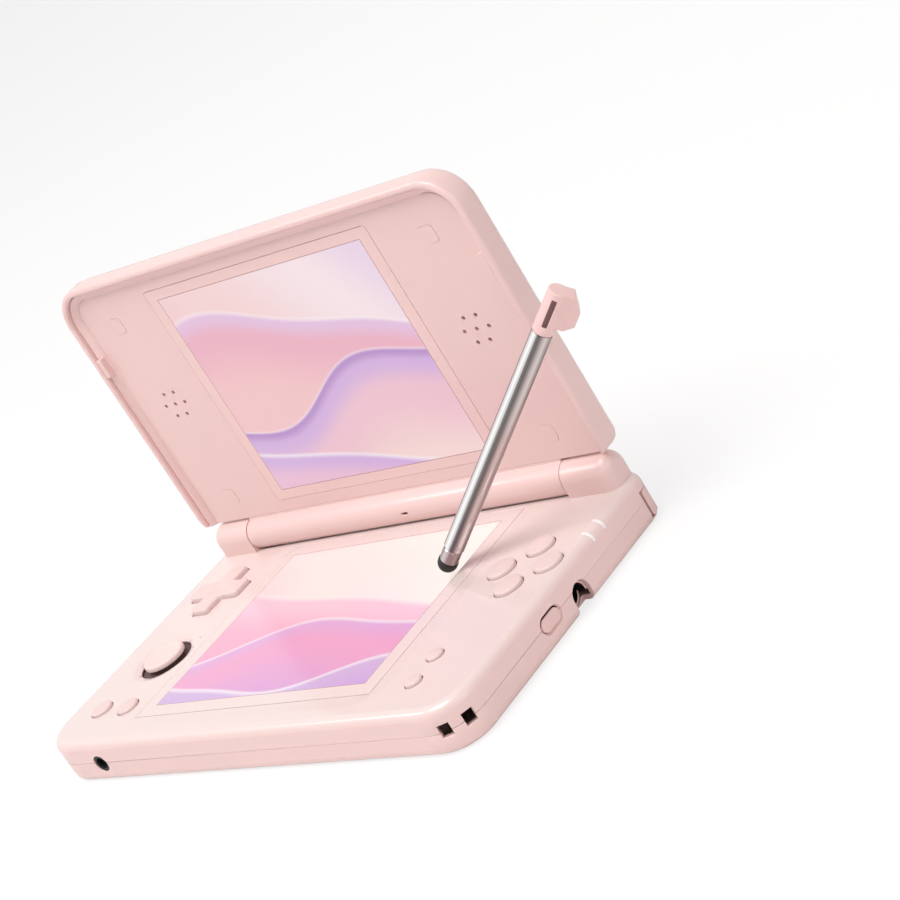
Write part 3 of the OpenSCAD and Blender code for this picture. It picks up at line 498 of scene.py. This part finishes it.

# %% [markdown]
# ## Dressing the nodes
# Every node of the frame names a material slot, and the finish of that name goes on it. A few nodes look different
# from the rest of their slot: they are black behind a screen or under a control, or pink where they belong to the
# shell. The silo's tube is pink with painted shade in its bore.

# %% Give every node its finish
slot_of = {row["node"]: row["material_slot"] for row in frame["record"]["subparts"]}
exceptions = {"lower_display": "black", "slide_carrier": "black", "lid_pads": "housing", "silo_tube": "silo",
              "strap_post": "trim"}


def dress(piece, finish):
    """Puts one finish on a piece, in place of all its material slots."""
    piece.data.materials.clear()
    piece.data.materials.append(finish.material)


for node_name, node in nodes.items():
    dress(node, finishes[exceptions.get(node_name, slot_of[node_name])])
print("nodes dressed:", len(nodes))

# %% [markdown]
# ## Tools for modelling
# Every operator works on what is selected, so each piece starts with a clean selection. A piece is opened
# in edit mode straight after it is added, and its faces or edges are picked in code by their place.

# %% Tools for opening a piece
def rest():
    """Leaves edit mode, with nothing selected."""
    if bpy.context.mode != "OBJECT":
        bpy.ops.object.mode_set(mode="OBJECT")
    bpy.ops.object.select_all(action="DESELECT")


def take(piece):
    """Makes a piece the only one that the operators work on."""
    rest()
    piece.select_set(True)
    bpy.context.view_layer.objects.active = piece


def open_piece(piece, name):
    """Names a piece, bakes its place into its mesh and opens it in edit mode."""
    piece.name = piece.data.name = name
    take(piece)
    bpy.ops.object.transform_apply(location=True, rotation=True, scale=True)
    bpy.ops.object.mode_set(mode="EDIT")
    bpy.ops.mesh.select_all(action="DESELECT")
    return piece


def start(name, primitive, **settings):
    """Adds a primitive at its size and place, and opens it."""
    rest()
    primitive(**settings)
    return open_piece(bpy.context.object, name)


rest()
print("mode before the first piece:", bpy.context.mode)

# %% [markdown]
# Faces and edges are found by where they are and not by their number, so the choice still holds when a size
# changes. Three small distances say when two places count as the same.

# %% Tools for picking and pushing
near, hair, weld = 0.1 * mm, 0.01 * mm, 0.002 * mm


def middle(item):
    """The middle of an edge or a face."""
    return sum((v.co for v in item.verts), Vector()) / len(item.verts)


def above(item, height):
    """Whether all of an edge or a face lies at a height or over it."""
    return min(v.co.z for v in item.verts) > height - hair


def pick(piece, kind, test):
    """Selects the faces or edges of an open piece that pass a test, and counts them."""
    bpy.ops.mesh.select_mode(type=kind)
    bpy.ops.mesh.select_all(action="DESELECT")
    mesh = bmesh.from_edit_mesh(piece.data)
    picked = [item for item in (mesh.faces if kind == "FACE" else mesh.edges) if test(item)]
    for item in picked:
        item.select_set(True)
    bmesh.update_edit_mesh(piece.data)
    return len(picked)


def push(step):
    """Extrudes the picked faces by a step."""
    bpy.ops.mesh.extrude_region_move(TRANSFORM_OT_translate={"value": step})


print("same place:", [round(v / mm, 3) for v in (near, hair, weld)], "mm")

# %% [markdown]
# The last tool closes a piece: it bakes the place into the mesh, smooths it up to a given angle, dresses it
# and lets it ride on its body. A large flat wall can be left out of the smoothing, because a bevel beside
# it would otherwise pull a soft gradient across it.

# %% Closing a piece
square_on = 0.9999
usual_smooth = 35


def close_piece(piece, body, slot, *stands_for, smooth=usual_smooth, flats=False):
    """Bakes, smooths and dresses a piece, and lets it ride on its body. Its flat walls can be kept flat."""
    take(piece)
    bpy.ops.object.transform_apply(location=True, rotation=True, scale=True)
    bpy.ops.object.shade_smooth_by_angle(angle=math.radians(smooth))
    if flats:
        faces = piece.data.polygons
        faces.foreach_set("use_smooth", [max(abs(n) for n in face.normal) < square_on for face in faces])
    dress(piece, finishes[slot])
    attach(piece, body)
    if stands_for:
        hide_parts(*stands_for)


print("usual smoothing angle:", usual_smooth, "degrees")

# %% [markdown]
# ## Round keys
# The four face buttons are low domes, and the menu and system buttons are smaller and flatter. Each is
# turned out of a disc: the disc is the flange that holds it under the shell, its inset face is pushed up to
# make the stem, the rim is bevelled, and the top is inset a few times, each time a little higher, to crown
# it. That keeps clean rings of faces, which a scaled sphere would not.

# %% Round keys
flange = 0.5 * mm
rim_round, rim_segments = 0.45 * mm, 4
crown_steps, crown_share = 5, 0.98
facing_up = 0.9


def round_key(name, diameter, crown):
    """A crowned key on a flange, where its node is."""
    (_, _, low), (_, _, high) = corners(name)
    at, radius, shoulder = centre(name), diameter / 2, high - crown
    piece = start(name, bpy.ops.mesh.primitive_cylinder_add, vertices=64, radius=radius + flange,
                  depth=flange, location=(at.x, at.y, low + flange / 2))
    pick(piece, "FACE", lambda f: f.normal.z > facing_up)
    bpy.ops.mesh.inset(thickness=flange)
    push((0, 0, shoulder - low - flange))
    pick(piece, "EDGE", lambda e: above(e, shoulder))
    bpy.ops.mesh.bevel(offset=rim_round, segments=rim_segments, affect="EDGES")
    pick(piece, "FACE", lambda f: f.normal.z > facing_up and above(f, shoulder))
    ring = (radius - rim_round) / crown_steps
    for step in range(crown_steps):
        outer, inner = 1 - step / crown_steps, 1 - (step + 1) / crown_steps
        bpy.ops.mesh.inset(thickness=ring * crown_share, depth=crown * (outer ** 2 - inner ** 2))
    close_piece(piece, name, "control", name)


# Each kind of key: the diameter of its stem, the height of its crown, and the nodes of that kind.
key_kinds = [
    (7.9 * mm, 0.45 * mm, ["face_button_rear", "face_button_right", "face_button_left", "face_button_front"]),
    (4.6 * mm, 0.2 * mm, ["start_button", "select_button"]),
    (6.4 * mm, 0.12 * mm, ["system_button_left", "system_button_right"]),
]
for diameter, crown, names in key_kinds:
    for name in names:
        round_key(name, diameter, crown)
print("round keys:", sum(len(names) for _, _, names in key_kinds))

# %% [markdown]
# ## Directional pad
# The pad is one moulding: a cross with rounded arms that stands well proud of the shell and dips in the
# middle for the thumb. A cube is the middle, its four sides are extruded into arms, the upright edges and
# then the top edges are bevelled, and a large ball is cut out of the top with a Boolean modifier to leave
# the dip.

# %% Directional pad
def cut_out(piece, cutter):
    """Cuts a piece by another with a Boolean modifier, and removes the cutter."""
    take(piece)
    boolean = piece.modifiers.new("cut", "BOOLEAN")
    boolean.operation = "DIFFERENCE"
    boolean.object = cutter
    bpy.ops.object.modifier_apply(modifier=boolean.name)
    bpy.data.objects.remove(cutter)


pad_at, (pad_low, pad_high) = centre("dpad"), corners("dpad")
cross_top, cross_span = pad_high.z, pad_high.x - pad_low.x
key_low = corners("start_button")[0].z
arm_width, arm_round, top_round = 6.8 * mm, 1.2 * mm, 0.6 * mm
dip_radius, dip_depth = 9.0 * mm, 0.42 * mm
sharp_angle = 1.0

cross = start("dpad", bpy.ops.mesh.primitive_cube_add, size=1,
              location=(pad_at.x, pad_at.y, (key_low + cross_top) / 2),
              scale=(arm_width, arm_width, cross_top - key_low))
for direction in (Vector((1, 0, 0)), Vector((-1, 0, 0)), Vector((0, 1, 0)), Vector((0, -1, 0))):
    side = pad_at + direction * arm_width / 2
    pick(cross, "FACE", lambda f: (middle(f) - side).xy.length < near)
    push(direction * (cross_span - arm_width) / 2)
pick(cross, "EDGE", lambda e: abs(e.verts[0].co.z - e.verts[1].co.z) > mm
     and e.calc_face_angle(0) > sharp_angle)
bpy.ops.mesh.bevel(offset=arm_round, segments=6, affect="EDGES")
pick(cross, "EDGE", lambda e: above(e, cross_top) and e.calc_face_angle(0) > sharp_angle)
bpy.ops.mesh.bevel(offset=top_round, segments=4, affect="EDGES")
ball = start("ball", bpy.ops.mesh.primitive_uv_sphere_add, segments=96, ring_count=96, radius=dip_radius,
             location=(pad_at.x, pad_at.y, cross_top + dip_radius - dip_depth))
cut_out(cross, ball)
close_piece(cross, "dpad", "control", "dpad", smooth=30)
print("directional pad:", len(cross.data.polygons), "faces")

# %% [markdown]
# ## Turned pieces
# The slide pad and the parts of the stylus are round, so each is spun from its profile, as on a lathe. The
# profile starts as a plane that is merged into one point, which is then extruded from corner to corner. The
# spin's last ring is merged with its first, and the normals are turned outwards.

# %% Turning
usual_sides = 64


def turned(name, profile, steps=usual_sides):
    """Spins a profile of (radius, height) corners in millimetres about the Z axis."""
    piece = start(name, bpy.ops.mesh.primitive_plane_add, size=mm)
    bpy.ops.mesh.select_all(action="SELECT")
    bpy.ops.mesh.merge(type="CENTER")
    bpy.ops.mesh.select_mode(type="VERT")
    bpy.ops.mesh.select_all(action="SELECT")
    points = [Vector((radius, 0, height)) * mm for radius, height in profile]
    bpy.ops.transform.translate(value=points[0])
    for here, there in zip(points, points[1:]):
        bpy.ops.mesh.extrude_region_move(TRANSFORM_OT_translate={"value": there - here})
    bpy.ops.mesh.select_all(action="SELECT")
    bpy.ops.mesh.spin(steps=steps, angle=math.tau, center=(0, 0, 0), axis=(0, 0, 1))
    bpy.ops.mesh.select_all(action="SELECT")
    bpy.ops.mesh.remove_doubles(threshold=weld)
    bpy.ops.mesh.normals_make_consistent(inside=False)
    rest()
    return piece


print("usual number of sides:", usual_sides)

# %% [markdown]
# ## Slide pad
# The thumb's slide pad is a pale cap with a raised ring round a shallow bowl. Under the shell it carries a wide
# skirt, so that no light shows through the hole however far it is slid. The skirt and the stalk are coloured a
# dark brown-pink, which paints the shade in the gap round the cap. Both are one turned profile. Its ring and bowl
# have only a few corners, since the smoothing joins them into a curve.

# %% Slide pad
skirt_radius, skirt_low, skirt_high = 9.55, 10.9, 11.3
stalk_radius, cap_low, cap_radius = 5.2, 12.5, 6.2
painted_shade_below = 12.0 * mm

skirt = [(0, skirt_low), (skirt_radius, skirt_low), (skirt_radius, skirt_high), (stalk_radius, skirt_high)]
wall = [(stalk_radius, cap_low), (5.95, cap_low), (6.18, 12.65), (cap_radius, 12.9)]
ring = [(cap_radius, 13.5), (6.13, 13.8), (5.9, 14.02), (5.55, 14.1)]
bowl = [(5.2, 14.06), (4.8, 13.94), (4.0, 13.74), (3.0, 13.58), (1.5, 13.5), (0, 13.48)]
slide_cap = turned("slide_pad", skirt + wall + ring + bowl, 96)
slide_at = Vector((*centre("slide_pad").xy, 0))
slide_cap.location = slide_at
close_piece(slide_cap, "slide_pad", "soft", "slide_pad", smooth=40)
slide_cap.data.materials.append(finishes["skirt"].material)
# painted shade: the faces below this height, the skirt and the stalk, get the dark brown-pink finish
for face in slide_cap.data.polygons:
    face.material_index = int(face.center.z < painted_shade_below)
print("slide pad:", len(slide_cap.data.polygons), "faces")

# %% [markdown]
# ## Metal and lacquer of the stylus
# The stylus leans over the touch panel on its soft tip. Its tube is drawn steel with a fine grain along its
# length, and its colour carries painted reflections, broad bright and dark bands along its length. They are looked
# up by the angle round the stylus's own axis, so they stay straight however it leans. The cap is lacquered like
# the trim, with painted shade in the recess for the thumbnail.

# %% Finishes of the stylus
stylus_foot, stylus_turn, stylus_lean = Vector((38.5, 11.0, 15.9)) * mm, 17.3, 49.5
stylus_tilt = (Matrix.Translation(stylus_foot) @ Matrix.Rotation(math.radians(stylus_turn), 4, "Z")
               @ Matrix.Rotation(math.radians(stylus_lean), 4, "Y"))
reflection_turn, streak_length = 1.511, 0.02
recess_radius, recess_low, recess_high, recess_shade_code = 2.5 * mm, 75.8 * mm, 83.6 * mm, "7E5756"


def upright_place(made):
    """Where a point lies on the stylus, as if it stood upright on its tip."""
    back_upright = stylus_tilt.inverted()
    return made.node("ShaderNodeMapping", {}, {"Vector": made.place(), "Rotation": back_upright.to_euler(),
                                               "Location": back_upright.translation})


def metal_with_painted_reflections(name, stops, roughness):
    """Polished tube with painted reflections, broad bright and dark bands that run along the stylus, and a fine
    grain.
    """
    made = Finish(name, stops[-1][1], roughness, metallic=1.0)
    upright = upright_place(made)
    across, along, _ = made.axes(upright)
    around = across.maths("ARCTAN2", along, across)
    # painted reflections: the bright and dark bands turn with the angle round the axis
    streak = (around + reflection_turn).wave() * 0.5 + 0.5
    drawn = made.node("ShaderNodeMapping", {}, {"Vector": upright, "Scale": (1, 1, streak_length)})
    grain = made.noise(2400.0, 3.0, drawn)
    made.set("Base Color", made.ramp(streak + grain * 0.02, stops))
    made.set("Roughness", roughness - 0.03 + grain * 0.06)
    made.bump(grain, 0.01 * mm, 0.2)
    return made


def cap_finish(name):
    """The trim's lacquer, with painted shade in the recess in the side of the stylus's cap."""
    made = lacquer(name, trim_code, 0.38, 0.2)
    across, along, height = made.axes(upright_place(made))
    deep = 1 - (across * across + along * along > recess_radius ** 2)
    # painted shade: points in the recess are coloured darker
    recess = deep * (height > recess_low) * (1 - (height > recess_high))
    made.set("Base Color", made.blend(recess, shade(trim_code), shade(recess_shade_code)))
    return made


# The bright and dark stops of these ramps are painted reflections on the sleeve and the ferrule.
finishes["sleeve"] = metal_with_painted_reflections("sleeve_painted_reflections", [
    (0.0, "7A7272"), (0.1, "E4E2E1"), (0.2, "FFFFFF"), (0.3, "DCDCDA"), (0.38, "807C7C"), (0.48, "6A6463"),
    (0.57, "8C8484"), (0.68, "BCB2B1"), (0.78, "D4CAC9"), (0.9, "B4AAA9"), (1.0, "8E8584")], 0.16)
finishes["ferrule"] = metal_with_painted_reflections("ferrule_painted_reflections", [
    (0.0, "857675"), (0.2, "D5CAC8"), (0.5, "9A8887"), (1.0, "A28E8C")], 0.2)
finishes["cap"] = cap_finish("stylus_cap_lacquer_painted_shade")
print("finishes:", len(finishes))

# %% [markdown]
# ## Stylus
# From the tip upwards there are a black rubber dome, a plain steel ferrule and a drawn sleeve. Each is
# turned upright at the origin, where its heights are easy to read, and then tilted onto the stylus's own
# axis. The dome's plug sits in the ferrule, whose thin shaft runs up inside the sleeve and holds it all.

# %% Stylus
tip_radius, tip_top, stem_radius, stem_top = 2.6, 1.0, 1.2, 2.5
ferrule_radius, ferrule_top, neck_radius, shaft_radius, shaft_top = 2.45, 4.75, 2.3, 2.1, 41
sleeve_low, sleeve_high, sleeve_radius, sleeve_bore = 5.2, 73.35, 2.65, 2.2
dome_step = 9


def tilted(piece, slot, finish, node):
    """Tilts a turned piece onto the stylus's axis and closes it."""
    piece.matrix_world = stylus_tilt
    close_piece(piece, "stylus", slot, node, smooth=40)
    dress(piece, finishes[finish])


dome = [(tip_radius * math.sin(a), -tip_radius * math.cos(a))
        for a in (math.radians(dome_step * i) for i in range(90 // dome_step + 1))]
tilted(turned("stylus_tip", [*dome, (tip_radius, tip_top - 0.15), (tip_radius - 0.1, tip_top),
                             (stem_radius, tip_top), (stem_radius, stem_top), (0, stem_top)]),
       "tip_rubber", "tip_rubber", "stylus_tip")
tilted(turned("stylus_ferrule", [
    (stem_radius, tip_top), (ferrule_radius - 0.1, tip_top), (ferrule_radius, tip_top + 0.1),
    (ferrule_radius, ferrule_top - 0.15), (neck_radius, ferrule_top), (neck_radius, sleeve_low),
    (shaft_radius, sleeve_low), (shaft_radius, shaft_top), (stem_radius, shaft_top), (stem_radius, tip_top)]),
       "pin_steel", "ferrule", "stylus_shaft")
tilted(turned("stylus_sleeve", [
    (sleeve_bore, sleeve_low), (sleeve_radius - 0.13, sleeve_low), (sleeve_radius, sleeve_low + 0.15),
    (sleeve_radius, sleeve_high - 0.35), (sleeve_radius - 0.05, sleeve_high), (sleeve_bore, sleeve_high),
    (sleeve_bore, sleeve_low)]), "pin_steel", "sleeve", "stylus_sleeve")
print("stylus: tip, ferrule and sleeve")

# %% [markdown]
# ## Moulded shells
# The shells come from the CAD model, where their edges are sharp. A real moulding has no sharp edge: every
# rim has a small radius that catches a thin line of light. A copy of each node is merged and cleaned, its
# sharp outer edges are picked by angle and place, and the bevel tool rounds them.

# %% Softening a moulded piece
front_round, rear_round = 11.0 * mm, 5.0 * mm


def copy_of(name, node, flat=0.6):
    """A merged copy of a CAD node, open in edit mode. The node itself is left alone."""
    piece = bpy.data.objects.new(name, nodes[node].data.copy())
    bpy.context.scene.collection.objects.link(piece)
    open_piece(piece, name)
    bpy.ops.mesh.select_all(action="SELECT")
    bpy.ops.mesh.remove_doubles(threshold=weld)
    if flat:
        bpy.ops.mesh.dissolve_limited(angle_limit=math.radians(flat))
    return piece


def round_edges(piece, width, segments, where, sharp=38):
    """Bevels the edges sharper than an angle that lie where a test says, and counts them."""
    count = pick(piece, "EDGE", lambda e: e.calc_face_angle(0) > math.radians(sharp) and where(middle(e)))
    if count:
        bpy.ops.mesh.bevel(offset=width, segments=segments, affect="EDGES", clamp_overlap=False)
    return count


def anywhere(point):
    """Lets every sharp edge of a piece be rounded."""
    return True


def edge_depth(point):
    """How deep a point lies inside the outline of the base."""
    radius = front_round if point.y < 0 else rear_round
    across, along = abs(point.x) - half_w + radius, abs(point.y) - half_d + radius
    outside = Vector((max(across, 0), max(along, 0))).length
    return radius - outside - min(max(across, along), 0)


print("depth of the base's middle:", round(edge_depth(Vector((0, 0, 0))) / mm, 1), "mm")

# %% [markdown]
# ## Finish of the deck
# The face round the lower screen is painted a little paler than the walls: the colour blends from the shell's pink
# to a paler, greyer one towards the top, a painted sheen. The face also falls by a few tenths of a millimetre in a
# soft shoulder towards the touch panel. So low a fall is only seen as a change of sheen, so a bump does it: its
# height follows the distance outside the panel's rounded outline, eased at both ends.

# %% Finish of the deck
touch_half = (corners("touch_panel")[1] - corners("touch_panel")[0]) / 2
touch_middle, touch_round = centre("touch_panel").y, 5.0 * mm
shoulder_width, shoulder_depth = 5.0 * mm, 0.4 * mm
painted_sheen_from = 10.8 * mm


def deck_finish(name):
    """The shell's lacquer, with a painted sheen that makes the deck paler, and a soft shoulder that falls towards
    the touch panel.
    """
    made = lacquer(name, shell_code, 0.34, 0.55)
    across, along, height = made.axes(made.place())
    # painted sheen: the colour turns paler towards the top of the shell
    painted_sheen_share = ((height - painted_sheen_from) * (1 / (base_top - painted_sheen_from))).clamped()
    made.set("Base Color", made.blend(painted_sheen_share, shade(shell_code), shade(deck_painted_sheen_code)))
    side = across.size() - (touch_half.x - touch_round)
    end = (along - touch_middle).size() - (touch_half.y - touch_round)
    beyond = side.at_least(0.0) * side.at_least(0.0) + end.at_least(0.0) * end.at_least(0.0)
    away = beyond.root() + side.at_least(end).at_most(0.0) - touch_round
    share = (away * (1 / shoulder_width)).clamped()
    made.bump(share * share * (3.0 - share * 2.0), shoulder_depth)
    return made


finishes["deck"] = deck_finish("deck_lacquer_painted_sheen")
print("touch panel:", [round(2 * v / mm, 1) for v in touch_half.xy], "mm")

# %% [markdown]
# ## Base shells
# The rim of the slide pad's well gets a large radius, since the thumb runs over it, and the outer edges get
# a small one. The bevels stop short of the status lights' slots and of the touch panel's cut corner, where
# the edges are too short to take one.

# %% Base shells
well_radius, well_round = 10.4 * mm, 1.0 * mm
shell_round, rim_depth, foot_height = 0.2 * mm, 0.6 * mm, 0.3 * mm
light_reach, corner_reach = 0.9 * mm, 6 * mm
deck_low = base_top - 0.05 * mm
light_low, light_high = corners("status_lights")
cut_corner = Vector((-touch_half.x, touch_middle + touch_half.y, 0))


def on_well_rim(point):
    """Whether a point lies on the rim of the slide pad's well."""
    return point.z > deck_low and abs((point - slide_at).xy.length - well_radius) < near


def near_lights(point):
    """Whether a point lies close to the status lights' slots."""
    return (point.x > light_low.x - light_reach
            and light_low.y - light_reach < point.y < light_high.y + light_reach)


def on_upper_edge(point):
    """Whether a point lies on an edge of the deck or of the wall under it, away from what is left sharp."""
    outer = point.z > deck_low or edge_depth(point) < rim_depth
    return outer and not near_lights(point) and (point - cut_corner).xy.length > corner_reach


def on_lower_edge(point):
    """Whether a point lies on an outer edge of the lower shell, over its foot."""
    return edge_depth(point) < rim_depth and point.z > foot_height


upper = copy_of("upper_shell", "base_upper", flat=0.05)
counted = round_edges(upper, well_round, 5, on_well_rim, sharp=20)
counted += round_edges(upper, shell_round, 2, on_upper_edge)
close_piece(upper, "base", "housing", "base_upper", smooth=32, flats=True)
dress(upper, finishes["deck"])
lower = copy_of("lower_shell", "base_lower", flat=0.05)
counted += round_edges(lower, shell_round, 2, on_lower_edge)
close_piece(lower, "base", "housing", "base_lower", smooth=32, flats=True)
print("softened base edges:", counted, "and faces:", len(upper.data.polygons), len(lower.data.polygons))

# %% [markdown]
# ## Lid shells
# The lid's back shell ends in a rim that stands proud round the inner face, and only that rim is rounded
# here: the rest of the shell is already round in the CAD model. The bezel inside it gets a hairline radius,
# except round the speakers' holes, which are too small for one.

# %% Lid shells
rim_y, bezel_back = corners("lid_back")[0].y + near, hinge_y - 0.3 * mm
lid_round, bezel_round = 0.5 * mm, 0.12 * mm
grille_inner, grille_outer = 48 * mm, 71 * mm
grille_low, grille_high = hinge_z + 8 * mm, hinge_z + 80 * mm


def on_bezel(point):
    """Whether a point lies on the bezel's front, away from the speakers' holes."""
    in_grille = grille_inner < abs(point.x) < grille_outer and grille_low < point.z < grille_high
    return point.y < bezel_back and not in_grille


back = copy_of("lid_shell", "lid_back", flat=0)
counted = round_edges(back, lid_round, 4, lambda point: point.y < rim_y)
close_piece(back, "lid", "housing", "lid_back", smooth=32, flats=True)
bezel = copy_of("bezel", "lid_bezel", flat=0.05)
counted += round_edges(bezel, bezel_round, 2, on_bezel)
close_piece(bezel, "lid", "housing", "lid_bezel", smooth=32, flats=True)
print("softened lid edges:", counted)

# %% [markdown]
# ## Barrel and edge controls
# The hinge's barrel and the controls on the walls are plain mouldings, and so is the cap of the stylus. All
# their edges are rounded, by a radius that suits what a finger does there: the shoulder buttons, which are
# pulled all the time, get the softest edge and the power button the finest.

# %% Barrel and edge controls
# Each piece: its node, its body, its slot, its finish, the radius of its edges and the segments of the bevel.
softened = [
    ("barrel", "hinge_barrel", "lid", "housing", "housing", 0.25 * mm, 3),
    ("shoulder_left", "shoulder_left", "shoulder_left", "trim", "trim", 0.45 * mm, 4),
    ("shoulder_right", "shoulder_right", "shoulder_right", "trim", "trim", 0.45 * mm, 4),
    ("power_button", "power_button", "power_button", "trim", "trim", 0.25 * mm, 4),
    ("volume_rocker", "volume_rocker", "volume_rocker", "trim", "trim", 0.3 * mm, 4),
    ("stylus_cap", "stylus_cap", "stylus", "trim", "cap", 0.3 * mm, 4),
]
counted = 0
for name, node, body, slot, finish, width, segments in softened:
    piece = copy_of(name, node)
    counted += round_edges(piece, width, segments, anywhere)
    close_piece(piece, body, slot, node, smooth=32)
    dress(piece, finishes[finish])
print("softened barrel and control edges:", counted)

# %% [markdown]
# ## Hinge knuckles
# Each end of the hinge is covered by a rounded hump that grows out of the shell. A disc is stood upright on
# the hinge axis, its lower half is flattened into a foot, the face is extruded sideways, and its outer rim
# is bevelled in many segments. The foot's inner points are dissolved first, because a bevel can be no wider
# than the shortest edge that it runs along.

# %% Hinge knuckles
end_gap = 0.3 * mm
knuckle_inner = corners("hinge_barrel")[1].x + end_gap
knuckle_outer = corners("hinge_knuckles")[1].x
knuckle_radius = corners("hinge_knuckles")[1].z - hinge_z
knuckle_round, knuckle_segments = 3.4 * mm, 10
foot_z = base_top - 0.3 * mm
for side, name in ((-1, "knuckle_left"), (1, "knuckle_right")):
    knuckle = start(name, bpy.ops.mesh.primitive_circle_add, vertices=96, radius=knuckle_radius,
                    fill_type="NGON", location=(side * knuckle_inner, hinge_y, hinge_z),
                    rotation=(0, math.radians(90), 0))
    mesh = bmesh.from_edit_mesh(knuckle.data)
    bpy.ops.mesh.select_mode(type="VERT")
    foot = [v for v in mesh.verts if v.co.z < hinge_z - hair]
    for vertex in foot:
        vertex.co.z = foot_z
    ends = (min(foot, key=lambda v: v.co.y), max(foot, key=lambda v: v.co.y))
    for vertex in mesh.verts:
        vertex.select_set(vertex in foot and vertex not in ends)
    bmesh.update_edit_mesh(knuckle.data)
    bpy.ops.mesh.dissolve_verts()
    bpy.ops.mesh.select_mode(type="FACE")
    bpy.ops.mesh.select_all(action="SELECT")
    push((side * (knuckle_outer - knuckle_inner), 0, 0))
    pick(knuckle, "EDGE", lambda e: min(abs(v.co.x) for v in e.verts) > knuckle_outer - hair
         and middle(e).z > foot_z + near)
    bpy.ops.mesh.bevel(offset=knuckle_round, segments=knuckle_segments, affect="EDGES", clamp_overlap=True)
    bpy.ops.mesh.select_all(action="SELECT")
    bpy.ops.mesh.normals_make_consistent(inside=False)
    close_piece(knuckle, "base", "housing", "hinge_knuckles", smooth=40)
print("knuckles: 2, radius", round(knuckle_radius / mm, 2), "mm")
